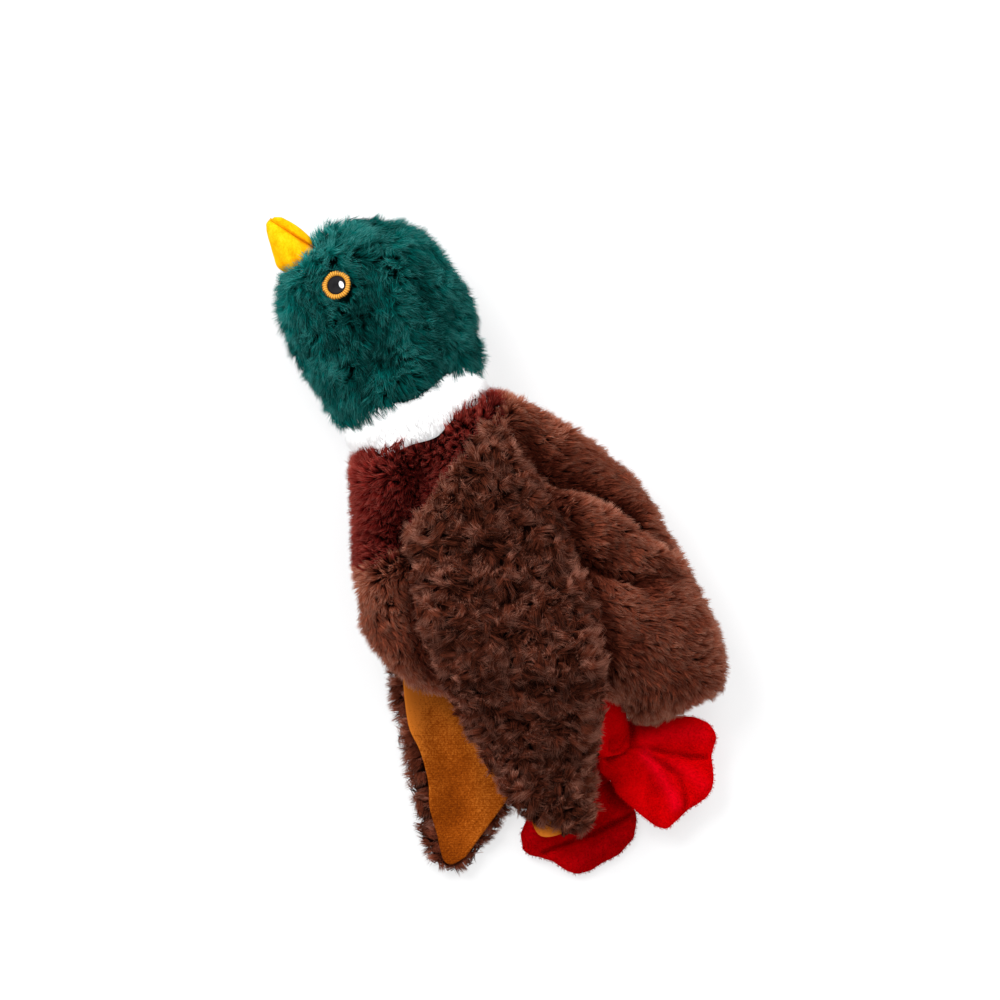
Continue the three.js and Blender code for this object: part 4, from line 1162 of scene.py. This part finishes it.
# Profile of a dome or a lens: part of an ellipse of a radius and a rise over a middle height
def cap(radius, least, middle, rise, end, steps=9):
    turns = np.linspace(0.02, end, steps)
    return [(max(radius * np.sin(t), least), rise * np.cos(t) + middle) for t in turns]


# Profile of the ring: a rounded crown between two radii
def roundedRing(inner, outer, low, high, steps=10):
    turn = np.linspace(np.pi, 0, steps)
    middle, half = (inner + outer) / 2, (outer - inner) / 2
    crown = [(middle + half * np.cos(t), high - (high - low) * 0.55 * (1 - np.sin(t))) for t in turn]
    return [(inner, low), *crown, (outer, low)]


for side, sideName in ((1, "left"), (-1, "right")):
    ring = roundedRing(eye["pupil"] + 0.05, eye["radius"], 0, eye["height"])
    dome = cap(eye["pupil"], 0.05, 0.65, 0.63, np.pi / 2) + [(eye["pupil"], 0), (0.05, 0)]
    shine = cap(1.1, 0.03, 1.2, 0.35, np.pi - 0.02)
    eyePiece(f"{sideName}_eye_ring_stitching", ring, side, (0, 0), 1.0, "orange_thread", orangeThread,
             f"{sideName}_eye_ring", eye["teeth"])
    eyePiece(f"{sideName}_eye_pupil_stitching", dome, side, (0, 0), 1.0, "black_thread", blackThread,
             f"{sideName}_eye_pupil")
    eyePiece(f"{sideName}_eye_highlight_stitching", shine, side, (eye["shine"][0], eye["shine"][1] * side),
             eye["shineStretch"], "white_thread", whiteThread, f"{sideName}_eye_highlight")
print("stage: head and eyes")

# Beak

beak = {
    # distance along the neck, left edge, right edge, half thickness
    "rows": [(76, -24, -15, 3.0), (84, -28.0, -13.4, 6.4), (90, -32.2, -12.7, 10.8), (96, -32.3, -13.4, 11.0),
             (101, -31.7, -15.4, 10.0), (105.5, -31.2, -18.0, 8.4), (108.8, -30.4, -20.6, 6.4),
             (111.2, -28.9, -23.2, 3.6), (112.0, -27.2, -25.2, 1.6)],
    "mouth": spots((283, 226), (309, 243)),  # the groove between the two halves
    "pleat": 0.7, "pleatTurn": 1.05,         # depth of the pleats, and radians of them to a millimetre
    "seam": 0.9,                             # depth of the groove at the mouth
}
mouthWay = unit(np.diff(np.array(beak["mouth"]), axis=0)[0])
mouthNormal = np.array([-mouthWay[1], mouthWay[0], 0.0])
mouthNormal = mouthNormal * np.sign(mouthNormal @ neckAcross)
mouthMiddle = np.array([*np.mean(beak["mouth"], axis=0), 0.0])


# Beak: oval rings along the neck, cut in two at the mouth; the lower half is pleated lengthwise
def beakSurface(upper, rows=60, count=96):
    along = downTable(beak["rows"], rows, 1)[:, None]
    left, right, rise = [tableAt(beak["rows"], along, k) for k in (1, 2, 3)]
    c, s = ovalRing(2.1, 2.1, count)
    across = (left + right) / 2 + (right - left) / 2 * c[None]
    grid = onNeck(along, across, neckHeight + rise * s[None])
    sign = 1 if upper else -1
    side = ((grid - mouthMiddle) @ mouthNormal) * sign
    push = np.maximum(0.1 - side, 0) * sign
    surface = surfaceOf(grid + push[..., None] * mouthNormal)
    pleats = np.sin((across - (left + right) / 2) * beak["pleatTurn"])
    pleats = pleats * softStep(along, 106, 84) * beak["pleat"]
    seam = -beak["seam"] * np.exp(-(side / 0.9) ** 2)
    lift = ((0 if upper else pleats) + seam) * (np.abs(s)[None] > 0.2)
    surface["grid"] = surface["grid"] + surface["normals"] * lift[..., None]
    # painted shade in the groove at the mouth and in the pleats, handed to the velour by the nap map
    paintedCreaseShade = np.exp(-(side / 1.6) ** 2) + (0 if upper else 0.55 * np.clip(-pleats / beak["pleat"], 0, 1))
    values = np.stack([0 * paintedCreaseShade, paintedCreaseShade.clip(0, 1)], -1).reshape(-1, 2)
    return surface, np.concatenate([values, values[:1], values[-1:]])


for half, upper in (("lower", False), ("upper", True)):
    surface, values = beakSurface(upper)
    pad = padPiece(f"beak_{half}_pad", surface, "head", "yellow_velour", yellowVelour, "beak",
                   f"beak_{half}")
    vertexMap(pad, "nap", values)
print("stage: beak")

# Near wing

# painted shade at the rim of each tuft, kept by the far wing's piles
curlyPile = dict(plushPile, seed=19, perSquare=5.5, length=7.4, lengthRoom=0.3, width=0.44, lean=0.48,
                 leanRoom=0.2, patch=15.0, stray=0.2, tuftSize=2.8, tuftStray=0.56, tuftRoom=0.35,
                 spread=0.62, draw=0.54, curl=55, bend=0.34,
                 fibreShade=0.46, patchShade=0.18, paintedTuftRimShade=0.46)


# Wing pile is brushed to the tip in the middle, and lies out over the edges
def wingComb(wing):
    def comb(points, normals):
        gap, away = towardEdge(points, wing)
        edge = softStep(gap, 13, 6)[:, None]
        swing = unit(seamReach + 1.3 * ripple(points, 18, 41)[:, None] * seamAcross)
        front = softStep((points - wingSeam["middle"]) @ seamReach, 9, 1)[:, None]
        return (swing * (1 - edge) + away * edge * 1.35) * (1 - front) - seamReach * front * 0.9
    return comb


# More fibres near a wing's edges, where the pile turns over
def edgeWeight(wing, inside, rim):
    def weight(points, normals):
        return np.where(towardEdge(points, wing)[0] < 11, rim, inside)
    return weight


# The near wing's lining shows at the tip, where the pile stops short
def tipMargin(plain, change):
    return lambda far: plain + change * np.exp(-((far - nearWing["tipAt"]) / nearWing["tipWide"]) ** 2)


def wingSkin(side, upper, lower):
    skin = place(closedPad(f"{side}_wing_skin", upper, lower), f"{side}_wing", "wing_pile", wingBacking,
                 f"{side}_wing_pile")


nearPlan = wingPlan(nearWing["rows"], nearWing["reach"], nearWing["margin"],
                    tipMargin(nearWing["margin"], nearWing["tipPile"]))
nearUnder = drapeHeight(nearPlan) + nearWing["lining"]
nearLoft = nearWing["loft"] + nearWing["loftRipple"] * ripple(nearPlan, 24, 43)
nearBase = raised(nearPlan, nearUnder + wingLoft(*nearPlan.shape[:2]) * nearLoft)
wingSkin("left", nearBase, raised(nearPlan, nearUnder - 0.3))
# painted light: the pile is lighter near the wing's edge
nearFibres = growPile(surfaceOf(nearBase, False, upwards), curlyPile, wingComb(nearWing),
                      edgeWeight(nearWing, 1.0, 1.7),
                      lambda points: -0.4 * softStep(towardEdge(points, nearWing)[0], 13, 8))


# The near wing's fibres stay above its lining
def overLining(points):
    gap = towardEdge(points, nearWing)[0]
    atTip = softStep((points - wingSeam["middle"]) @ seamReach, 112, 120)
    return np.where(gap > 7.0 - 5.5 * atTip, drapeHeight(points) + 0.8, 0.0)


placePile("left_wing_pile_top", rested(nearFibres, overLining), "left_wing", "wing_pile", wingPile)


# Area of a sheet over its grid, in square metres
def gridArea(grid):
    along, across = grid[1:, :-1] - grid[:-1, :-1], grid[:-1, 1:] - grid[:-1, :-1]
    return float(np.linalg.norm(np.cross(along, across), axis=-1).sum() * mm * mm)


def liningSheet(side, upper):
    lower = raised(upper, upper[..., 2] - lining["thickness"])
    sheet = place(closedPad(f"{side}_wing_lining_cloth", upper, lower), f"{side}_wing", "lining", tanLining,
                  f"{side}_wing_lining")
    gridArea(upper)


liningPlan = wingPlan(nearWing["rows"], nearWing["reach"] + 1.5, nearWing["liningMargin"],
                      tipMargin(nearWing["liningMargin"], nearWing["tipLining"]))[3:]
liningSheet("left", raised(liningPlan, drapeHeight(liningPlan) + lining["thickness"]))
print("stage: near wing")

# Far wing

farPlan = wingPlan(farWing["rows"], farWing["reach"], farWing["margin"])
farBase = raised(farPlan, farWing["height"] - farWing["skin"][0] + 0.5 * ripple(farPlan, 48, 51))
farFace = raised(farBase, farBase[..., 2] - farWing["skin"][1])
wingSkin("right", farBase, farFace)
farPile = dict(curlyPile, seed=16, perSquare=1.9, length=7.0, width=0.55)
farUnder = surfaceOf(farFace, False, lambda grid: -upwards(grid))
farFibres = growPile(farUnder, farPile, wingComb(farWing), edgeWeight(farWing, 0.5, 1.2))
# painted light: the fringe is lighter on top
fringePile = dict(curlyPile, seed=17, perSquare=6.8, length=6.2, lean=0.6, tuftSize=4.4, draw=0.74,
                  spread=0.5, tuftStray=0.5, bend=0.26, width=0.5, paintedTopLight=0.36)
fringe = growPile(surfaceOf(farBase, False, upwards), fringePile, wingComb(farWing),
                  edgeWeight(farWing, 0.0, 1.0))
fringe, farFibres = notFlung(fringe, farWing["flung"]), notFlung(farFibres, farWing["flung"])
for key in ("middle", "tip"):  # the pile stays below the lining
    most = farWing["height"] - farWing["fringeDrop"] - pressed(fringe[key], farWing["folds"]).clip(0)
    fringe[key][:, 2] = np.minimum(fringe[key][:, 2], most)
    farFibres[key][:, 2] = np.minimum(farFibres[key][:, 2], farWing["height"] - farWing["underDrop"])
placePile("right_wing_pile_under", rested(together(farFibres, fringe), onFloor), "right_wing", "wing_pile",
          wingPile)
farLining = wingPlan(farWing["liningRows"], farWing["liningReach"], 0.0)
farLiningTop = farWing["height"] + farWing["liningRise"] - pressed(farLining, farWing["folds"])
farLiningTop = farLiningTop + 0.5 * ripple(farLining, 40, 53)
liningSheet("right", raised(farLining, farLiningTop))
print("stage: far wing")

# Feet and legs

feet = {
    "left": {
        "outline": [(601, 772), (598, 744), (606, 728), (622, 718), (631.6, 719), (647.5, 722),
                    (663.5, 717.5), (679.5, 716.4), (695.5, 718), (708, 723.5), (714, 731.5), (716, 738.7),
                    (713, 747.5), (710.6, 756.4), (712.5, 769), (713, 779.5), (711.5, 788.4), (706, 797),
                    (695.5, 804.4), (686.6, 809.8), (679.5, 817), (667, 828.4), (656.4, 825.8), (642, 815),
                    (628, 802.7), (618, 793.8), (612, 781)],
        "middle": (658, 766), "ankle": (624, 744), "height": 9.6, "ankleRise": 4.5, "thickness": 6.5,
        "folds": [(spots((628, 746), (648, 748), (669, 753), (690, 757), (712, 758)), 1.6, 1.4),
                  (spots((644, 752), (664, 764), (680, 777), (685, 795), (687, 812)), 1.6, 1.5),
                  (spots((632, 720), (631.6, 735), (623, 751), (608, 759)), 2.6, 1.8),
                  (spots((645, 754), (658, 772), (672, 794), (676, 806)), -1.5, 3.0),
                  (spots((645, 737), (672, 734), (704, 735)), -0.6, 4.4),
                  (spots((672, 764), (694, 776), (706, 786)), -0.6, 3.6)],
    },
    "right": {
        "outline": [(556, 792), (534, 808), (528, 818), (521.3, 834), (524, 850), (531, 855), (540, 856.7),
                    (553, 860.7), (566.7, 870), (577, 873.5), (590.7, 870), (601, 863), (618.7, 854),
                    (633, 838), (636, 822), (635, 811.6), (628, 802.7), (615, 785), (596, 772), (574, 776)],
        "middle": (580, 826), "ankle": (588, 785), "height": 0.3, "ankleRise": 2.0, "thickness": 6.0,
        "folds": [(spots((545, 852), (567, 843), (593, 834), (620, 821), (636, 811)), 1.9, 1.4),
                  (spots((532, 835), (540, 822), (552, 808)), -0.8, 4.2),
                  (spots((578, 862), (600, 846), (622, 834)), -0.7, 3.8)],
    },
}
legs = {
    "left": {"root": (600, 686), "ankle": (612, 747), "halfWidth": (9.0, 9.5), "heights": (24.0, 15.5)},
    "right": {"root": (572, 716), "ankle": (590, 780), "halfWidth": (10.0, 10.0), "heights": (17.0, 5.0)},
}
# half thickness, how far it goes past the ankle, and how far before and after the ankle it bends
legStuffing = {"half": 3.6, "past": 4.0, "bend": (9.0, 3.0)}
velourPile = dict(plushPile, perSquare=1.6, length=1.3, width=0.3, lean=0.4, patch=12.0, stray=0.3,
                  tuftSize=1.6, tuftStray=0.5, draw=0.2)


# Foot: rings from its middle out to the outline, rounded at the rim, creased between the toes,
# and rising to the ankle; each half is closed by the flat plane between the two
def footHalf(name, plan, upper):
    outline = np.array(spots(*plan["outline"]))
    outline = np.concatenate([outline, outline[:1]])
    step = np.concatenate([[0], np.cumsum(np.linalg.norm(np.diff(outline, axis=0), axis=1))])
    at = np.linspace(0, step[-1], 144, endpoint=False)
    rim = np.stack([np.interp(at, step, outline[:, k]) for k in (0, 1)], -1)
    rim = (np.roll(rim, 1, 0) + 3 * rim + np.roll(rim, -1, 0)) / 5
    share = np.sin(np.linspace(0.02, 1, 36) * np.pi / 2)
    share = np.concatenate([share, share[::-1]])[:, None, None]
    middle = np.array(spot(*plan["middle"]))
    plane = middle + (rim - middle) * share * 1.015
    edge = np.broadcast_to(share[..., 0], plane.shape[:2])
    toAnkle = np.linalg.norm(plane - np.array(spot(*plan["ankle"])), axis=-1)
    centre = plan["height"] + plan["thickness"] / 2 + plan["ankleRise"] * np.exp(-(toAnkle / 14) ** 2)
    bulge = plan["thickness"] / 2 * np.sqrt(np.maximum(1 - edge ** 4, 0))
    inside = softStep(edge, 1.02, 0.86)
    crease = pressed(plane, plan["folds"]) * inside
    outer = centre + (bulge - crease if upper else -bulge)
    half = len(share) // 2
    z = np.where((np.arange(len(share)) < half)[:, None], outer, centre + (0.05 if upper else -0.05))
    surface = surfaceOf(np.concatenate([plane, z[..., None]], -1))
    foot = closedSkin(name, surface)
    # painted highlights on the ridges and painted shade in the creases, handed to the velour by the nap map
    ridges = [(line, -deep / 1.5, wide) for line, deep, wide in plan["folds"] if deep < 0]
    hollows = [(line, deep / 2.2, wide * 0.8) for line, deep, wide in plan["folds"] if deep > 0]
    values = [(pressed(plane, folds) * inside).clip(0, 1) for folds in (ridges, hollows)]
    values = np.stack(values, -1).reshape(-1, 2)
    vertexMap(foot, "nap", np.concatenate([values, values[:1], values[-1:]]))
    return foot, surface


# Leg: a flat padded strip from the body to just past the ankle
def legStrip(name, plan):
    share = np.linspace(0, 1, 40)[:, None]
    root, ankle = np.array(spot(*plan["root"])), np.array(spot(*plan["ankle"]))
    ahead = unit(ankle - root)
    aside = np.array([-ahead[1], ahead[0]])
    line = root + (ankle + ahead * legStuffing["past"] - root) * share
    c, s = ovalRing(2.4, 2.4, 48)
    half = plan["halfWidth"][0] + (plan["halfWidth"][1] - plan["halfWidth"][0]) * share
    half = half * np.sqrt(np.clip((1.03 - share) / 0.1, 0, 1))
    z = plan["heights"][0] + (plan["heights"][1] - plan["heights"][0]) * softStep(share, 0, 0.9)
    plane = line[:, None] + (half * c[None])[..., None] * aside
    height = z + legStuffing["half"] * s[None] * (1 - 0.25 * np.exp(-(c[None] / 0.25) ** 2))
    return closedSkin(name, surfaceOf(np.concatenate([plane, height[..., None]], -1)))


# the right foot and leg take the red velour and nap copies painted in shade
for sideName, velour in (("left", redVelour), ("right", redVelourInShade)):
    plan = feet[sideName]
    for half, upper in (("top", True), ("sole", False)):
        made, surface = footHalf(f"{sideName}_foot_{half}_pad", plan, upper)
        pad = place(made, f"{sideName}_foot", "red_velour", velour, f"{sideName}_foot_{half}")
        outwards = 1 if upper else -1
        nap = growPile(surface, dict(velourPile, seed=30 + upper),
                       lambda points, normals: 0 * points + np.array([0.0, -0.6, 0.0]),
                       lambda points, normals: 1.0 * (normals[..., 2] * outwards > 0.3))
        placePile(f"{sideName}_foot_{half}_nap", rested(nap, onFloor), f"{sideName}_foot", "red_velour",
                  redNap if sideName == "left" else redNapInShade)
    strip = legStrip(f"{sideName}_leg_pad", legs[sideName])
    vertexMap(strip, "nap", np.zeros((len(strip.data.vertices), 2)))
    strip.data.materials.append(velour)
    leg, (before, after) = legs[sideName], legStuffing["bend"]
    root, ankle = [np.array([*spot(*leg[key]), height]) + home
                   for key, height in zip(("root", "ankle"), leg["heights"])]
    ahead = unit(ankle - root)
    tuple((ankle - ahead * before) * mm)
    tuple((ankle + ahead * after) * mm)
    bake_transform(strip)
    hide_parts(f"{sideName}_leg")
print("stage: legs and feet")

# Floor, light and camera

studio = {
    "floor": 3.0, "paper": (0.86, 0.86, 0.87),  # half the floor's side in metres, and its colour
    "lit": 0.62, "glow": 1.05,          # how much of the paper shows as plain white, and how bright that is
    "plain": 0.25, "plainGain": 0.5,    # beyond this distance squared it turns plain white, and how fast
    "sky": 0.6,                         # the world lights at this strength, and is seen as plain white
    "boxes": [("key soft box", (0.05, 1.1, 1.25), 25.0, 0.9), ("fill soft box", (1.0, 0.1, 1.1), 11.0, 1.2)],
    "camera": (0.0376, -0.0028, 1.5), "turn": -45.0, "width": 0.45,
}
floorMesh = bpy.data.meshes.new("floor")
far = studio["floor"]
floorMesh.from_pydata([(-far, -far, 0), (far, -far, 0), (far, far, 0), (-far, far, 0)], [], [(0, 1, 2, 3)])
floor = bpy.data.objects.new("floor", floorMesh)
bpy.context.collection.objects.link(floor)
paper = Finish("white paper floor", Roughness=0.9)
paper.feed(paper.shader.inputs["Base Color"], studio["paper"])
glow = paper.node("ShaderNodeEmission", {}, {"Color": (1, 1, 1), "Strength": studio["glow"]})
east, north, _ = paper.parts(paper.position())
farOff = (east * east + north * north - studio["plain"]).atLeast(0.0)
mix = paper.node("ShaderNodeMixShader", {}, {0: paper.seen() * (farOff * studio["plainGain"] + studio["lit"]),
                                             1: Wire(paper, paper.shader.outputs[0]), 2: glow})
paper.feed(paper.output.inputs["Surface"], mix)
floor.data.materials.append(paper.material)

world = bpy.data.worlds.new("studio")
bpy.context.scene.world = world
world.use_nodes = True
sky, background = Nodes(world.node_tree), world.node_tree.nodes["Background"].inputs
background["Color"].default_value = (1, 1, 1, 1)
sky.feed(background["Strength"], sky.seen() * (1 - studio["sky"]) + studio["sky"])


def softBox(name, position, power, width):
    data = bpy.data.lights.new(name, "AREA")
    data.shape, data.size, data.energy = "SQUARE", width, power
    lamp = bpy.data.objects.new(name, data)
    lamp.location = position
    lamp.rotation_euler = (-Vector(position)).to_track_quat("-Z", "Y").to_euler()
    bpy.context.collection.objects.link(lamp)


for box in studio["boxes"]:
    softBox(*box)

cameraData = bpy.data.cameras.new("camera")
cameraData.type = "ORTHO"
cameraData.ortho_scale = studio["width"]
cameraObject = bpy.data.objects.new("camera", cameraData)
cameraObject.location = studio["camera"]
cameraObject.rotation_euler = (0, 0, np.radians(studio["turn"]))
bpy.context.collection.objects.link(cameraObject)
bpy.context.scene.camera = cameraObject
bpy.context.scene.view_settings.view_transform = "Standard"
